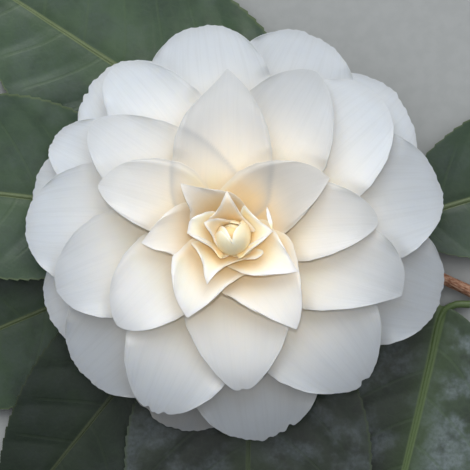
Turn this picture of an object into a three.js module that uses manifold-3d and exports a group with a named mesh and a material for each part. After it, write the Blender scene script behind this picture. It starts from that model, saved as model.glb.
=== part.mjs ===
// A cut camellia sprig: one formal double flower, its bud scales, a short woody twig and seven leaves.
// Millimetres. The flower faces straight up (+Z) and the sprig lies on the plane z = 0.
import * as THREE from 'three';
import { mergeVertices } from 'three/addons/utils/BufferGeometryUtils.js';
import Module from 'manifold-3d';

const wasm = await Module();
wasm.setup();

// Sizes of the flower
const PETAL_THICKNESS = 0.9;
const PETAL_CUP = 1.4;
const PETAL_FOOT_SHARE = 0.35;
const PETAL_SHOULDER = 0.72;
const PETAL_LONG_STEPS = 6;
const PETAL_CROSS_STEPS = 6;
const SMALL_PETAL_REACH = 24;
const SMALL_PETAL_STEPS = 5;
const FOOT_REACH_SHARE = 0.12;
const FOOT_REACH_LEAST = 1.5;
const FOOT_REACH_MOST = 4;
const SEAT_PROFILE = [
  [6.5, 14.8],
  [11.5, 15.9],
  [13.5, 17.4],
  [13.2, 19.6],
  [11.2, 21.3],
  [8.2, 22.6],
  [4.5, 23.6],
  [2.6, 24.4],
];
const BUD_RADIUS = 3.3;
const WELD_DISTANCE = 0.05;
const PINCH_OPENING = 0.03;
const BUD_FOOT = 25;
const BUD_TOP = 43;

// Heights that the petal layers pass through: layer number, tip height, foot radius, foot height, swell
const LAYERS = [
  { layer: 0, tip: 15.5, foot: 7.4, seat: 16.4, swell: 4.2 },
  { layer: 3.5, tip: 22.8, foot: 6.4, seat: 17.5, swell: 3.6 },
  { layer: 6, tip: 29.6, foot: 5.4, seat: 18.6, swell: 2.4 },
  { layer: 8, tip: 34.4, foot: 4.4, seat: 19.6, swell: 1.5 },
  { layer: 10.4, tip: 40, foot: 3, seat: 21, swell: 0.6 },
  { layer: 12.6, tip: 43.5, foot: 1.6, seat: 22.5, swell: 0 },
];

// Petals from the outermost inwards: direction in degrees, reach from the flower's axis, half width on each
// side, where along the reach it is widest, how pointed each side of the tip is, and the layer it lies in
const petal = (turn, reach, left, right, widest, pointLeft, pointRight, layer) => ({
  turn, reach, left, right, widest, pointLeft, pointRight, layer,
});
const PETALS = [
  petal(165.5, 49, 16, 16, 0.64, 1, 1, 0),
  petal(40, 52, 17, 19, 0.65, 1, 1, 0),
  petal(-106, 48.3, 15, 17, 0.66, 1, 1, 0),
  petal(-156, 48, 16, 16, 0.65, 1, 1, 0.5),
  petal(129, 50, 15, 15, 0.64, 0.9, 0.9, 0.6),
  petal(-17, 52.5, 17, 16, 0.65, 1, 1, 0.6),
  petal(148, 49.3, 9.5, 13, 0.64, 0.9, 0.9, 1.4),
  petal(68, 52, 17, 17, 0.65, 1, 1, 1.2),
  petal(-137, 49, 17.5, 16.5, 0.63, 1, 1, 1),
  petal(-82, 49.4, 17.5, 16, 0.63, 1, 1, 1.5),
  petal(11, 51.6, 19.5, 14, 0.64, 1, 1.1, 1.7),
  petal(178, 49.6, 14, 16.5, 0.63, 1, 1, 1.8),
  petal(98, 51, 17, 15, 0.63, 1, 1, 2.2),
  petal(43, 48.6, 16.5, 14, 0.58, 1, 0.95, 3),
  petal(-48, 47.5, 17, 17, 0.59, 1.2, 1.15, 2.9),
  petal(126, 49.3, 12, 14, 0.58, 1, 1, 3.6),
  petal(-163, 44, 11.5, 14.5, 0.6, 1.1, 1.1, 3.1),
  petal(-114, 46, 14, 14, 0.59, 1.15, 1.1, 3.8),
  petal(62, 44.6, 14, 12, 0.55, 1.05, 1.25, 4.3),
  petal(-19, 42.9, 14, 10.8, 0.52, 0.9, 1.6, 4.6),
  petal(141, 43, 10, 12.5, 0.45, 1.05, 1.3, 4.8),
  petal(-86, 36.9, 13.5, 13, 0.45, 1.35, 1.35, 5),
  petal(-142, 34.5, 8, 13.2, 0.5, 1.1, 1.05, 5.6),
  petal(5, 35, 12, 7.5, 0.48, 1.1, 1.35, 6),
  petal(91, 39.9, 14.2, 9.9, 0.36, 1.2, 1.2, 6.2),
  petal(159, 33.9, 6, 11.8, 0.5, 1.1, 1.05, 6.6),
  petal(28, 27.8, 12.5, 8, 0.45, 1.1, 1.25, 7.4),
  petal(-57, 26.9, 12.3, 9.5, 0.31, 1.3, 1.7, 7.9),
  petal(185, 21.7, 8.5, 8.8, 0.35, 1.8, 1.1, 8.2),
  petal(-119, 22, 7, 11.2, 0.33, 1.9, 1.3, 9),
  petal(135, 17.8, 7.5, 8, 0.25, 1.6, 1.6, 9),
  petal(-27, 17.9, 10, 8, 0.2, 1.7, 1.7, 9.3),
  petal(-118, 12.8, 8, 8, 0.15, 1.4, 1.4, 10),
  petal(5, 10.2, 7, 6, 0.2, 1.6, 1.6, 10.3),
  petal(177, 10.7, 6, 6, 0.2, 1.6, 1.6, 10.6),
  petal(98, 10.7, 6.5, 5.5, 0.2, 1.6, 1.6, 10.9),
  petal(151, 7.5, 5, 5, 0.2, 1.6, 1.6, 11.5),
];

// Sizes of the bud scales and the flower's stalk
const SCALE_COUNT = 6;
const SCALE_REACH = 10.5;
const SCALE_HALF_WIDTH = 5.6;
const SCALE_THICKNESS = 0.9;
const SCALE_LIFT = 4.2;
const CUP_FOOT_RADIUS = 2.4;
const CUP_RADIUS = 6.6;
const CUP_BOTTOM = 8.6;
const CUP_TOP = 14.2;
const STALK_RADIUS = 1.5;
const STALK_BOTTOM = 6;
const CLEARANCE = 0.3;

// Sizes of the twig
const TWIG_PATH = [
  [71.5, -19.7, 1.75],
  [62, -15.4, 2],
  [50.2, -10, 2.6],
  [39, -6, 3.2],
  [26.6, -2.8, 3.9],
  [14, -0.8, 4.2],
  [0, 0, 4.3],
  [-14, 1.6, 4.2],
];
const TWIG_CUT_RADIUS = 1.7;
const TWIG_TIP_RADIUS = 1;
const TWIG_RINGS = 36;
const TWIG_SIDES = 12;
const JOINT_SWELL = 0.35;
const JOINT_SPREAD = 0.028;
const JOINT_PLACES = [0.11, 0.4, 0.59, 0.7, 0.83, 0.95];

// Sizes of the leaves: foot of the blade, direction, length, half widths, heights along the midrib, fold
const LEAF_THICKNESS = 1.1;
const LEAF_LONG_STEPS = 12;
const LEAF_CROSS_STEPS = 8;
const RIB_SIDES = 7;
const RIB_RINGS = 14;
const PETIOLE_RADIUS = 0.95;
const RIB_TIP_RADIUS = 0.45;
const LEAVES = [
  {
    name: 'leaf_upper_left', foot: [17, 12], turn: 147, bend: 0, length: 100, left: 28, right: 29,
    heights: [3.2, 1.9, 0.7], fold: 1.2, petiole: [19.9, 0.6, 3.6], full: 0.8,
  },
  {
    name: 'leaf_left', foot: [-18, 5.5], turn: 173, bend: 0, length: 92, left: 20.5, right: 24.5,
    heights: [5.6, 11, 3.6], fold: 1.5, petiole: [-14.6, 2.1, 4.4], full: 0.75,
  },
  {
    name: 'leaf_lower_left', foot: [-13, -4], turn: 203, bend: 0, length: 86, left: 21, right: 22,
    heights: [3, 2, 0.6], fold: 1.2, petiole: [-9.3, -1.3, 3.8], full: 0.85,
  },
  {
    name: 'leaf_under_left', foot: [-5, -9], turn: 231, bend: 0, length: 84, left: 20, right: 20,
    heights: [4.4, 7, 2.4], fold: 1.2, petiole: [-1.6, -2.1, 3.8], full: 0.85,
  },
  {
    name: 'leaf_bottom', foot: [5, -10], turn: 268.5, bend: 0.02, length: 100, left: 30, right: 30,
    heights: [5.2, 10.6, 4], fold: 1.4, petiole: [8.3, -2.6, 4.1], full: 0.85,
  },
  {
    name: 'leaf_lower_right', foot: [50.9, -16.9], turn: 257, bend: -0.03, length: 92, left: 29, right: 29,
    heights: [2.2, 2.3, 0.6], fold: 1.6, petiole: [57.5, -16.5, 2], full: 0.8,
  },
  {
    name: 'leaf_right', foot: [38.5, 3], turn: 17, bend: 0, length: 80, left: 20, right: 18,
    heights: [3.4, 2.6, 0.6], fold: 1.4, petiole: [34.3, -2.2, 3.5], full: 0.85,
  },
];

// Materials
const dress = (name, colour, roughness) =>
  new THREE.MeshStandardMaterial({ name, color: new THREE.Color(colour), roughness, metalness: 0 });
const PETAL_WHITE = dress('petal_white', '#f3f0e6', 0.55);
const SCALE_GREEN = dress('scale_green', '#8c8f52', 0.6);
const STALK_GREEN = dress('stalk_green', '#7d8a45', 0.6);
const BARK_BROWN = dress('bark_brown', '#9a6448', 0.75);
const LEAF_GREEN = dress('leaf_green', '#2f4a33', 0.35);

// Turns a closed geometry into a solid that can be fused
function solidOf(geometry) {
  const bare = geometry.clone();
  bare.deleteAttribute('normal');
  bare.deleteAttribute('uv');
  const welded = mergeVertices(bare, 1e-4);
  return new wasm.Manifold(new wasm.Mesh({
    numProp: 3,
    vertProperties: new Float32Array(welded.attributes.position.array),
    triVerts: new Uint32Array(welded.index.array),
  }));
}

// Turns a fused solid back into a geometry
function geometryOf(solid) {
  const mesh = solid.getMesh();
  const geometry = new THREE.BufferGeometry();
  geometry.setAttribute('position', new THREE.BufferAttribute(mesh.vertProperties.slice(), 3));
  geometry.setIndex(new THREE.BufferAttribute(mesh.triVerts.slice(), 1));
  return geometry;
}

// Draws points closer than the weld distance together and drops the faces that close up
function withoutSlivers(geometry) {
  const welded = mergeVertices(geometry, WELD_DISTANCE);
  const corners = welded.index.array;
  const kept = new Map();
  for (let i = 0; i < corners.length; i += 3) {
    const face = [corners[i], corners[i + 1], corners[i + 2]];
    if (new Set(face).size === 3) {
      const key = [...face].sort((a, b) => a - b).join(' ');
      if (kept.has(key)) kept.delete(key);
      else kept.set(key, face);
    }
  }
  welded.setIndex([...kept.values()].flat());
  return welded;
}

// The outer skin of a solid's largest body, without loose scraps or sealed hollows
function largestBody(solid) {
  const bodies = solid.decompose();
  bodies.sort((a, b) => b.volume() - a.volume());
  return bodies[0];
}

// Draws back into the solid the points where two of its sheets only just touch, so that they part
function withOpenPinches(geometry) {
  geometry.computeVertexNormals();
  const points = geometry.attributes.position;
  const normals = geometry.attributes.normal;
  const groups = new Map();
  for (let i = 0; i < points.count; i += 1) {
    const key = [points.getX(i), points.getY(i), points.getZ(i)].map((v) => v.toFixed(3)).join(' ');
    groups.set(key, [...(groups.get(key) ?? []), i]);
  }
  [...groups.values()].filter((group) => group.length > 1).flat().forEach((i) => {
    const inwards = new THREE.Vector3().fromBufferAttribute(normals, i).multiplyScalar(-PINCH_OPENING);
    points.setXYZ(i, points.getX(i) + inwards.x, points.getY(i) + inwards.y, points.getZ(i) + inwards.z);
  });
  return geometry;
}

// Fuses geometries into one closed body
function fuse(geometries) {
  const whole = geometries.map(solidOf).reduce((sum, next) => sum.add(next));
  const tidied = solidOf(withoutSlivers(geometryOf(largestBody(whole))));
  const fused = withOpenPinches(geometryOf(largestBody(tidied)));
  fused.computeVertexNormals();
  return fused;
}

// A closed plate whose middle surface is place(across, along), both from 0 to 1
function plate(place, crossSteps, longSteps, thickness) {
  const box = new THREE.BoxGeometry(1, 1, 1, crossSteps, longSteps, 1);
  const points = box.attributes.position;
  const step = 1e-3;
  for (let i = 0; i < points.count; i += 1) {
    const across = points.getX(i) + 0.5;
    const along = points.getY(i) + 0.5;
    const middle = place(across, along);
    const sideways = place(across + step, along).sub(place(across - step, along));
    const onwards = place(across, along + step).sub(place(across, along - step));
    const out = sideways.cross(onwards).normalize();
    middle.addScaledVector(out, points.getZ(i) * thickness);
    points.setXYZ(i, middle.x, middle.y, middle.z);
  }
  return box;
}

// A tapering round rod along a curve; radiusAt takes the share of the length
function rod(curve, rings, sides, radiusAt) {
  const tube = new THREE.CylinderGeometry(1, 1, 1, sides, rings);
  const points = tube.attributes.position;
  const up = new THREE.Vector3(0, 0, 1);
  for (let i = 0; i < points.count; i += 1) {
    const share = THREE.MathUtils.clamp(points.getY(i) + 0.5, 0, 1);
    const heading = curve.getTangentAt(share);
    const side = new THREE.Vector3().crossVectors(heading, up).normalize();
    const over = new THREE.Vector3().crossVectors(side, heading);
    const place = curve.getPointAt(share);
    const radius = radiusAt(share);
    place.addScaledVector(side, points.getX(i) * radius);
    place.addScaledVector(over, points.getZ(i) * radius);
    points.setXYZ(i, place.x, place.y, place.z);
  }
  return tube;
}

// The layer sizes between two named layers
function layerSizes(number) {
  const above = Math.max(1, LAYERS.findIndex((row) => number <= row.layer));
  const low = LAYERS[above - 1];
  const high = LAYERS[above];
  const share = (number - low.layer) / (high.layer - low.layer);
  const mix = (key) => THREE.MathUtils.lerp(low[key], high[key], share);
  return { tip: mix('tip'), foot: mix('foot'), seat: mix('seat'), swell: mix('swell') };
}

// Height of a petal's middle surface at a distance from the flower's axis
function petalHeight(shape, sizes, distance) {
  const full = 0.9;
  const share = Math.max(0, (distance - sizes.foot) / (shape.reach - sizes.foot));
  const rise = share < full ? 1.03 * (1 - (1 - share / full) ** 2) : 1.03 - 2 * (share - full) ** 2;
  const swell = share < 1 ? Math.sin(Math.PI * share) : -1.5 * (share - 1);
  return sizes.seat + (sizes.tip - sizes.seat) * rise + sizes.swell * swell;
}

// One side of a petal's outline in plan, from its foot (0) over the widest place to the tip (1)
function petalSide(shape, side, share) {
  const width = side > 0 ? shape.left : shape.right;
  const point = side > 0 ? shape.pointLeft : shape.pointRight;
  const widest = shape.widest * shape.reach;
  const foot = THREE.MathUtils.clamp(FOOT_REACH_SHARE * shape.reach, FOOT_REACH_LEAST, FOOT_REACH_MOST);
  const lower = 0.45;
  if (share <= lower) {
    const part = share / lower;
    const swell = PETAL_FOOT_SHARE + (1 - PETAL_FOOT_SHARE) * Math.sin((Math.PI / 2) * part);
    return [foot + (widest - foot) * part, side * width * swell];
  }
  const angle = (Math.PI / 2) * ((share - lower) / (1 - lower));
  const onwards = Math.max(0, Math.sin(angle)) ** point;
  const outwards = Math.max(0, Math.cos(angle)) ** point;
  return [widest + (shape.reach - widest) * onwards, side * width * outwards];
}

// A place in plan inside a petal's outline, blended between its foot, its two sides and its tip
function petalPlan(shape, across, along) {
  const side = across < 0.5 ? -1 : 1;
  const overTip = PETAL_SHOULDER + (1 - PETAL_SHOULDER) * (1 - Math.abs(2 * across - 1));
  const footLeft = petalSide(shape, 1, 0);
  const footRight = petalSide(shape, -1, 0);
  const shoulderLeft = petalSide(shape, 1, PETAL_SHOULDER);
  const shoulderRight = petalSide(shape, -1, PETAL_SHOULDER);
  const left = petalSide(shape, 1, PETAL_SHOULDER * along);
  const right = petalSide(shape, -1, PETAL_SHOULDER * along);
  const tip = petalSide(shape, side, overTip);
  return [0, 1].map((k) => {
    const foot = (1 - across) * footRight[k] + across * footLeft[k];
    const rows = (1 - along) * foot + along * tip[k];
    const columns = (1 - across) * right[k] + across * left[k];
    const low = (1 - along) * ((1 - across) * footRight[k] + across * footLeft[k]);
    const high = along * ((1 - across) * shoulderRight[k] + across * shoulderLeft[k]);
    return rows + columns - low - high;
  });
}

// One petal as a thin closed plate
function petalGeometry(shape) {
  const sizes = layerSizes(shape.layer);
  const turn = THREE.MathUtils.degToRad(shape.turn);
  const steps = shape.reach < SMALL_PETAL_REACH ? SMALL_PETAL_STEPS : PETAL_LONG_STEPS;
  const crossSteps = shape.reach < SMALL_PETAL_REACH ? SMALL_PETAL_STEPS : PETAL_CROSS_STEPS;
  const place = (across, along) => {
    const [out, aside] = petalPlan(shape, across, along);
    const width = aside > 0 ? shape.left : shape.right;
    const cup = PETAL_CUP * Math.min(1, (aside / width) ** 2) * THREE.MathUtils.clamp(out / shape.reach, 0, 1);
    const height = petalHeight(shape, sizes, Math.hypot(out, aside)) + cup;
    return new THREE.Vector3(
      out * Math.cos(turn) - aside * Math.sin(turn),
      out * Math.sin(turn) + aside * Math.cos(turn),
      height,
    );
  };
  return plate(place, crossSteps, steps, PETAL_THICKNESS);
}

// The closed heart of the flower: the seat that every petal stands on, and the unopened middle
function heartGeometry() {
  const profile = [new THREE.Vector2(0, SEAT_PROFILE[0][1])];
  SEAT_PROFILE.forEach(([radius, height]) => profile.push(new THREE.Vector2(radius, height)));
  const steps = 8;
  for (let i = 1; i < steps; i += 1) {
    const angle = (Math.PI * i) / steps;
    const height = BUD_FOOT + ((BUD_TOP - BUD_FOOT) * (1 - Math.cos(angle))) / 2;
    profile.push(new THREE.Vector2(BUD_RADIUS * Math.sin(angle) ** 0.6, height));
  }
  profile.push(new THREE.Vector2(0, BUD_TOP));
  const lathe = new THREE.LatheGeometry(profile, 18);
  lathe.rotateX(Math.PI / 2);
  return lathe;
}

// One green scale below the petals
function scaleGeometry(index) {
  const turn = (index / SCALE_COUNT) * Math.PI * 2 + 0.4;
  const lower = index % 2 ? 0 : 0.7;
  const place = (across, along) => {
    const swing = (across - 0.5) * 2;
    const width = SCALE_HALF_WIDTH * Math.sin(Math.PI * (0.22 + 0.6 * along));
    const out = CUP_FOOT_RADIUS + (SCALE_REACH - CUP_FOOT_RADIUS) * along - 1.6 * along * swing * swing;
    const aside = swing * width;
    const distance = Math.hypot(out, aside);
    const share = THREE.MathUtils.clamp((distance - CUP_FOOT_RADIUS) / (SCALE_REACH - CUP_FOOT_RADIUS), 0, 1.2);
    return new THREE.Vector3(
      out * Math.cos(turn) - aside * Math.sin(turn),
      out * Math.sin(turn) + aside * Math.cos(turn),
      CUP_BOTTOM + 0.9 + SCALE_LIFT * share ** 1.4 - lower,
    );
  };
  return plate(place, SMALL_PETAL_STEPS, SMALL_PETAL_STEPS, SCALE_THICKNESS);
}

// The bud scales fused round a small cup
function calyxGeometry() {
  const profile = [
    new THREE.Vector2(0, CUP_BOTTOM),
    new THREE.Vector2(CUP_FOOT_RADIUS, CUP_BOTTOM),
    new THREE.Vector2(CUP_RADIUS * 0.8, CUP_BOTTOM + 1.9),
    new THREE.Vector2(CUP_RADIUS, CUP_TOP - 1.6),
    new THREE.Vector2(CUP_RADIUS * 0.9, CUP_TOP),
    new THREE.Vector2(0, CUP_TOP),
  ];
  const cup = new THREE.LatheGeometry(profile, 20);
  cup.rotateX(Math.PI / 2);
  const scales = Array.from({ length: SCALE_COUNT }, (_, index) => scaleGeometry(index));
  return fuse([cup, ...scales]);
}

// The twig's curve
function twigCurve() {
  return new THREE.CatmullRomCurve3(TWIG_PATH.map((place) => new THREE.Vector3(...place)), false, 'centripetal');
}

// Radius of the twig along its length, a little thicker at each joint
function twigRadius(share) {
  const swell = JOINT_PLACES.reduce(
    (sum, place) => sum + JOINT_SWELL * Math.exp(-(((share - place) / JOINT_SPREAD) ** 2)),
    0,
  );
  return THREE.MathUtils.lerp(TWIG_CUT_RADIUS, TWIG_TIP_RADIUS, share ** 0.8) + swell * Math.min(1, share * 9);
}

// The flower's own stalk, from just above the twig to just below the scales
function stalkGeometry() {
  const top = CUP_BOTTOM - CLEARANCE;
  const profile = [
    new THREE.Vector2(0, STALK_BOTTOM),
    new THREE.Vector2(STALK_RADIUS * 0.85, STALK_BOTTOM),
    new THREE.Vector2(STALK_RADIUS, (STALK_BOTTOM + top) / 2),
    new THREE.Vector2(STALK_RADIUS * 1.35, top),
    new THREE.Vector2(0, top),
  ];
  const stalk = new THREE.LatheGeometry(profile, TWIG_SIDES);
  stalk.rotateX(Math.PI / 2);
  return stalk;
}

// Half width of a leaf blade as a share of its greatest, along its length
function bladeWidth(share, full) {
  const rounded = Math.max(0, Math.sin(Math.PI * share ** full)) ** 0.78;
  const drawnOut = 1 - 0.16 * THREE.MathUtils.smoothstep(share, 0.72, 0.97);
  return Math.max(0.025, rounded * drawnOut);
}

// Place on a leaf's middle surface
function leafPlace(leaf, share, aside) {
  const turn = THREE.MathUtils.degToRad(leaf.turn);
  const [low, middle, tip] = leaf.heights;
  const out = share * leaf.length;
  const bend = leaf.bend * leaf.length * share * (share - 0.4) * 4 * 0.25;
  const limit = aside > 0 ? leaf.left : leaf.right;
  const height = (1 - share) ** 2 * low + 2 * share * (1 - share) * middle + share ** 2 * tip;
  const fold = leaf.fold * Math.min(1.2, Math.abs(aside) / limit) ** 1.5;
  const across = aside + bend;
  return new THREE.Vector3(
    leaf.foot[0] + out * Math.cos(turn) - across * Math.sin(turn),
    leaf.foot[1] + out * Math.sin(turn) + across * Math.cos(turn),
    height + fold,
  );
}

// A leaf: a thin folded blade with its stalk running on as the midrib
function leafGeometry(leaf) {
  const blade = plate((across, along) => {
    const share = THREE.MathUtils.clamp(along, -0.01, 1.01) * 0.985 + 0.004;
    const limit = across > 0.5 ? leaf.left : leaf.right;
    const aside = (across - 0.5) * 2 * limit * bladeWidth(Math.min(1, Math.max(0, share)), leaf.full);
    return leafPlace(leaf, share, aside);
  }, LEAF_CROSS_STEPS, LEAF_LONG_STEPS, LEAF_THICKNESS);
  const start = new THREE.Vector3(...leaf.petiole);
  const path = [start];
  [0.03, 0.15, 0.35, 0.6, 0.85, 0.97].forEach((share) => path.push(leafPlace(leaf, share, 0)));
  const foot = leafPlace(leaf, 0, 0);
  path.splice(1, 0, start.clone().lerp(foot, 0.6).add(new THREE.Vector3(0, 0, -0.2)));
  const curve = new THREE.CatmullRomCurve3(path, false, 'centripetal');
  const rib = rod(curve, RIB_RINGS, RIB_SIDES, (share) =>
    THREE.MathUtils.lerp(PETIOLE_RADIUS, RIB_TIP_RADIUS, Math.min(1, share * 1.15) ** 0.6));
  return fuse([blade, rib]);
}

// Puts the parts together
const group = new THREE.Group();
group.name = 'camellia_sprig';

function addPart(name, geometry, material) {
  const mesh = new THREE.Mesh(geometry, material.clone());
  mesh.name = name;
  group.add(mesh);
}

addPart('bloom', fuse([heartGeometry(), ...PETALS.map(petalGeometry)]), PETAL_WHITE);
addPart('bud_scales', calyxGeometry(), SCALE_GREEN);
addPart('flower_stalk', stalkGeometry(), STALK_GREEN);
addPart('twig', rod(twigCurve(), TWIG_RINGS, TWIG_SIDES, twigRadius), BARK_BROWN);
LEAVES.forEach((leaf) => addPart(leaf.name, leafGeometry(leaf), LEAF_GREEN));

// Lays the sprig on the plane z = 0 with the middle of its box over the origin
const box = new THREE.Box3();
group.children.forEach((mesh) => {
  mesh.geometry.computeBoundingBox();
  box.union(mesh.geometry.boundingBox);
});
const middle = box.getCenter(new THREE.Vector3());
group.children.forEach((mesh) => mesh.geometry.translate(-middle.x, -middle.y, -box.min.z));

export default group;
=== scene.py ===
"""A cut camellia sprig with one white double flower, seen from straight above.

The flower's petals, its bud scales and stalk, the twig and seven leaves are modelled over the
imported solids. Sizes are in millimetres from the flower's axis until a mesh is laid in place.
"""

from __future__ import annotations

import logging
import math
from dataclasses import dataclass, field
from enum import Enum
from typing import Callable, Sequence

import bpy
import numpy as np
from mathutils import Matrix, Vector


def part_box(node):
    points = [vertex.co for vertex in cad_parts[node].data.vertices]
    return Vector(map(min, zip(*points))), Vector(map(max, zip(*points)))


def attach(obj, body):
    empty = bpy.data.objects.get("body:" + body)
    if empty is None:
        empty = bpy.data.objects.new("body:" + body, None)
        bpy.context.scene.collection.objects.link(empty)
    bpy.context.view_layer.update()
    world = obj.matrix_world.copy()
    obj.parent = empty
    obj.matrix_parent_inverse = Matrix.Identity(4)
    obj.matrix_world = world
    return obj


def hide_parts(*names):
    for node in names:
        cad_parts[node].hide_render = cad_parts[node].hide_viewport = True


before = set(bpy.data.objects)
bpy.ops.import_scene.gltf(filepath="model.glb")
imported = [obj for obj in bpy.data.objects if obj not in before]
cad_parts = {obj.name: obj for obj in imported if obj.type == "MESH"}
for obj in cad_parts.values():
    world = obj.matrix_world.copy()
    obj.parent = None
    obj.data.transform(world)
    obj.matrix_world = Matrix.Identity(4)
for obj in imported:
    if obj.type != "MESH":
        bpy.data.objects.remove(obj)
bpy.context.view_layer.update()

LOG = logging.getLogger("camellia")

# Sizes are in millimetres, except where they are said to be shares.
MM = 0.001  # one millimetre in metres
STALK_FOOT_HEIGHT = 6.0  # where the flower's stalk leaves the twig
FULL_REACH = 50.0  # the reach that the waves of a petal are given for
FAR = 7.0  # gaps between petals are measured up to this
UV_SPAN = 100.0  # millimetres of leaf in one unit of its UV map
VEIN_PITCH = 11.5  # from one side vein to the next at the rib
VEIN_LEAN = 0.42  # how far a side vein runs forward for each millimetre out
VEIN_BOW = 0.016  # how much more it does so towards the margin
VEIN_STAGGER = 0.25  # part of a pitch by which the two halves are out of step
LOWEST_BLADE = 0.34  # how low the middle of a blade's thickness may lie

Colour = tuple[float, float, float]
Place = Callable[[np.ndarray, np.ndarray], np.ndarray]
Piece = bpy.types.Object
Points = Sequence[tuple[float, float]]
Socket = bpy.types.NodeSocket


class Side(Enum):
    """Which side of its middle line a margin lies on, seen from the foot outwards."""

    LEFT = 1.0
    RIGHT = -1.0


class Face(Enum):
    """How far the thickness of a sheet lies to either side of the mapped surface."""

    MIDDLE = 0.0
    BELOW = -1.0


class Skin(Enum):
    """How a leaf's skin takes the light."""

    BRIGHT = "bright"
    DULL = "dull"
    WAXY = "waxy"


def flower_origin() -> Vector:
    """Finds the point on the flower's axis that every size is measured from.

    Returns:
        The point in metres, at height nought of the plan's own heights.
    """
    low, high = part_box("flower_stalk")
    middle = [(a + b) / 2 for a, b in zip(low, high)]
    return Vector((middle[0], middle[1], low[2] - STALK_FOOT_HEIGHT * MM))


ORIGIN = flower_origin()


def clear_selection() -> None:
    """Leaves edit mode and deselects every object."""
    if bpy.context.object and bpy.context.object.mode != "OBJECT":
        bpy.ops.object.mode_set(mode="OBJECT")
    bpy.ops.object.select_all(action="DESELECT")


def pick(*pieces: Piece) -> None:
    """Selects the pieces alone and makes the first one active.

    Args:
        pieces: the pieces.
    """
    clear_selection()
    for piece in pieces:
        piece.select_set(True)
    bpy.context.view_layer.objects.active = pieces[0]


def joined(name: str, pieces: Sequence[Piece]) -> Piece:
    """Joins several meshes into one piece.

    Args:
        name: the name of the piece.
        pieces: the meshes, all of them at the origin.

    Returns:
        The joined piece.
    """
    pick(*pieces)
    if len(pieces) > 1:
        bpy.ops.object.join()
    piece = bpy.context.object
    piece.name = name
    piece.data.name = name
    return piece


def smooth_step(value: np.ndarray, low: float, high: float) -> np.ndarray:
    """Rises softly from 0 at low to 1 at high."""
    share = np.clip((value - low) / (high - low), 0, 1)
    return share * share * (3 - 2 * share)


def sheet(name: str, columns: int, rows: int, place: Place) -> Piece:
    """Lays a flat grid over a surface.

    Args:
        name: the name of the new mesh.
        columns: faces across.
        rows: faces along.
        place: gives each vertex its place in millimetres from its shares across and along.

    Returns:
        The sheet, with its shares as its UV map.
    """
    clear_selection()
    bpy.ops.mesh.primitive_grid_add(x_subdivisions=columns, y_subdivisions=rows, size=2)
    piece = bpy.context.object
    piece.name = name
    flat = np.empty(len(piece.data.vertices) * 3)
    piece.data.vertices.foreach_get("co", flat)
    flat = flat.reshape(-1, 3)
    laid = place((1 - flat[:, 0]) / 2, (flat[:, 1] + 1) / 2)
    laid = laid * MM + np.array(ORIGIN)
    piece.data.vertices.foreach_set("co", laid.ravel())
    piece.data.update()
    return piece


def thicken(piece: Piece, thickness: float, face: Face, body: np.ndarray | None = None) -> None:
    """Gives a sheet its thickness and smooth faces with crisp rims.

    Args:
        piece: the sheet.
        thickness: in millimetres.
        face: where the thickness goes.
        body: for each vertex, how much of the thickness it has; all of it where none is given.
    """
    pick(piece)
    wall = piece.modifiers.new("wall", "SOLIDIFY")
    wall.thickness = thickness * MM
    wall.offset = face.value
    wall.use_even_offset = False
    if body is not None:
        group = piece.vertex_groups.new(name="body")
        for index, weight in enumerate(body):
            group.add([index], float(weight), "REPLACE")
        wall.vertex_group = group.name
        wall.thickness_vertex_group = 0.02
    bpy.ops.object.modifier_apply(modifier=wall.name)
    bpy.ops.object.shade_smooth_by_angle(angle=math.radians(50))


def tube(name: str, sides: int, rows: int, path: np.ndarray, radii: np.ndarray) -> Piece:
    """Wraps a grid round a path and closes its seam and ends.

    Args:
        name: the name of the new mesh.
        sides: faces round the path.
        rows: faces along it.
        path: rows + 1 points in millimetres.
        radii: rows + 1 by sides + 1 radii, the first and last columns alike.

    Returns:
        The closed tube.
    """
    ahead = np.gradient(path, axis=0)
    ahead /= np.linalg.norm(ahead, axis=1, keepdims=True)
    aside = np.cross(ahead, (0.0, 0.0, 1.0))
    aside /= np.linalg.norm(aside, axis=1, keepdims=True)
    above = np.cross(aside, ahead)

    def place(across: np.ndarray, along: np.ndarray) -> np.ndarray:
        """Puts a share of the way round and along onto the tube.

        Args:
            across: share of the way round.
            along: share of the way along.

        Returns:
            One place a row.
        """
        row = np.rint(along * rows).astype(int)
        column = np.rint(across * sides).astype(int)
        angle = 2 * math.pi * (column % sides) / sides
        reach = radii[row, column % sides][:, None]
        turned = aside[row] * np.cos(angle)[:, None] + above[row] * np.sin(angle)[:, None]
        return path[row] + turned * reach

    piece = sheet(name, sides, rows, place)
    pick(piece)
    bpy.ops.object.mode_set(mode="EDIT")
    bpy.ops.mesh.select_all(action="SELECT")
    bpy.ops.mesh.remove_doubles(threshold=1e-6)
    bpy.ops.mesh.fill_holes(sides=sides + 2)
    bpy.ops.mesh.select_all(action="SELECT")
    bpy.ops.mesh.normals_make_consistent(inside=False)
    bpy.ops.object.mode_set(mode="OBJECT")
    bpy.ops.object.shade_smooth_by_angle(angle=math.radians(60))
    return piece


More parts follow.
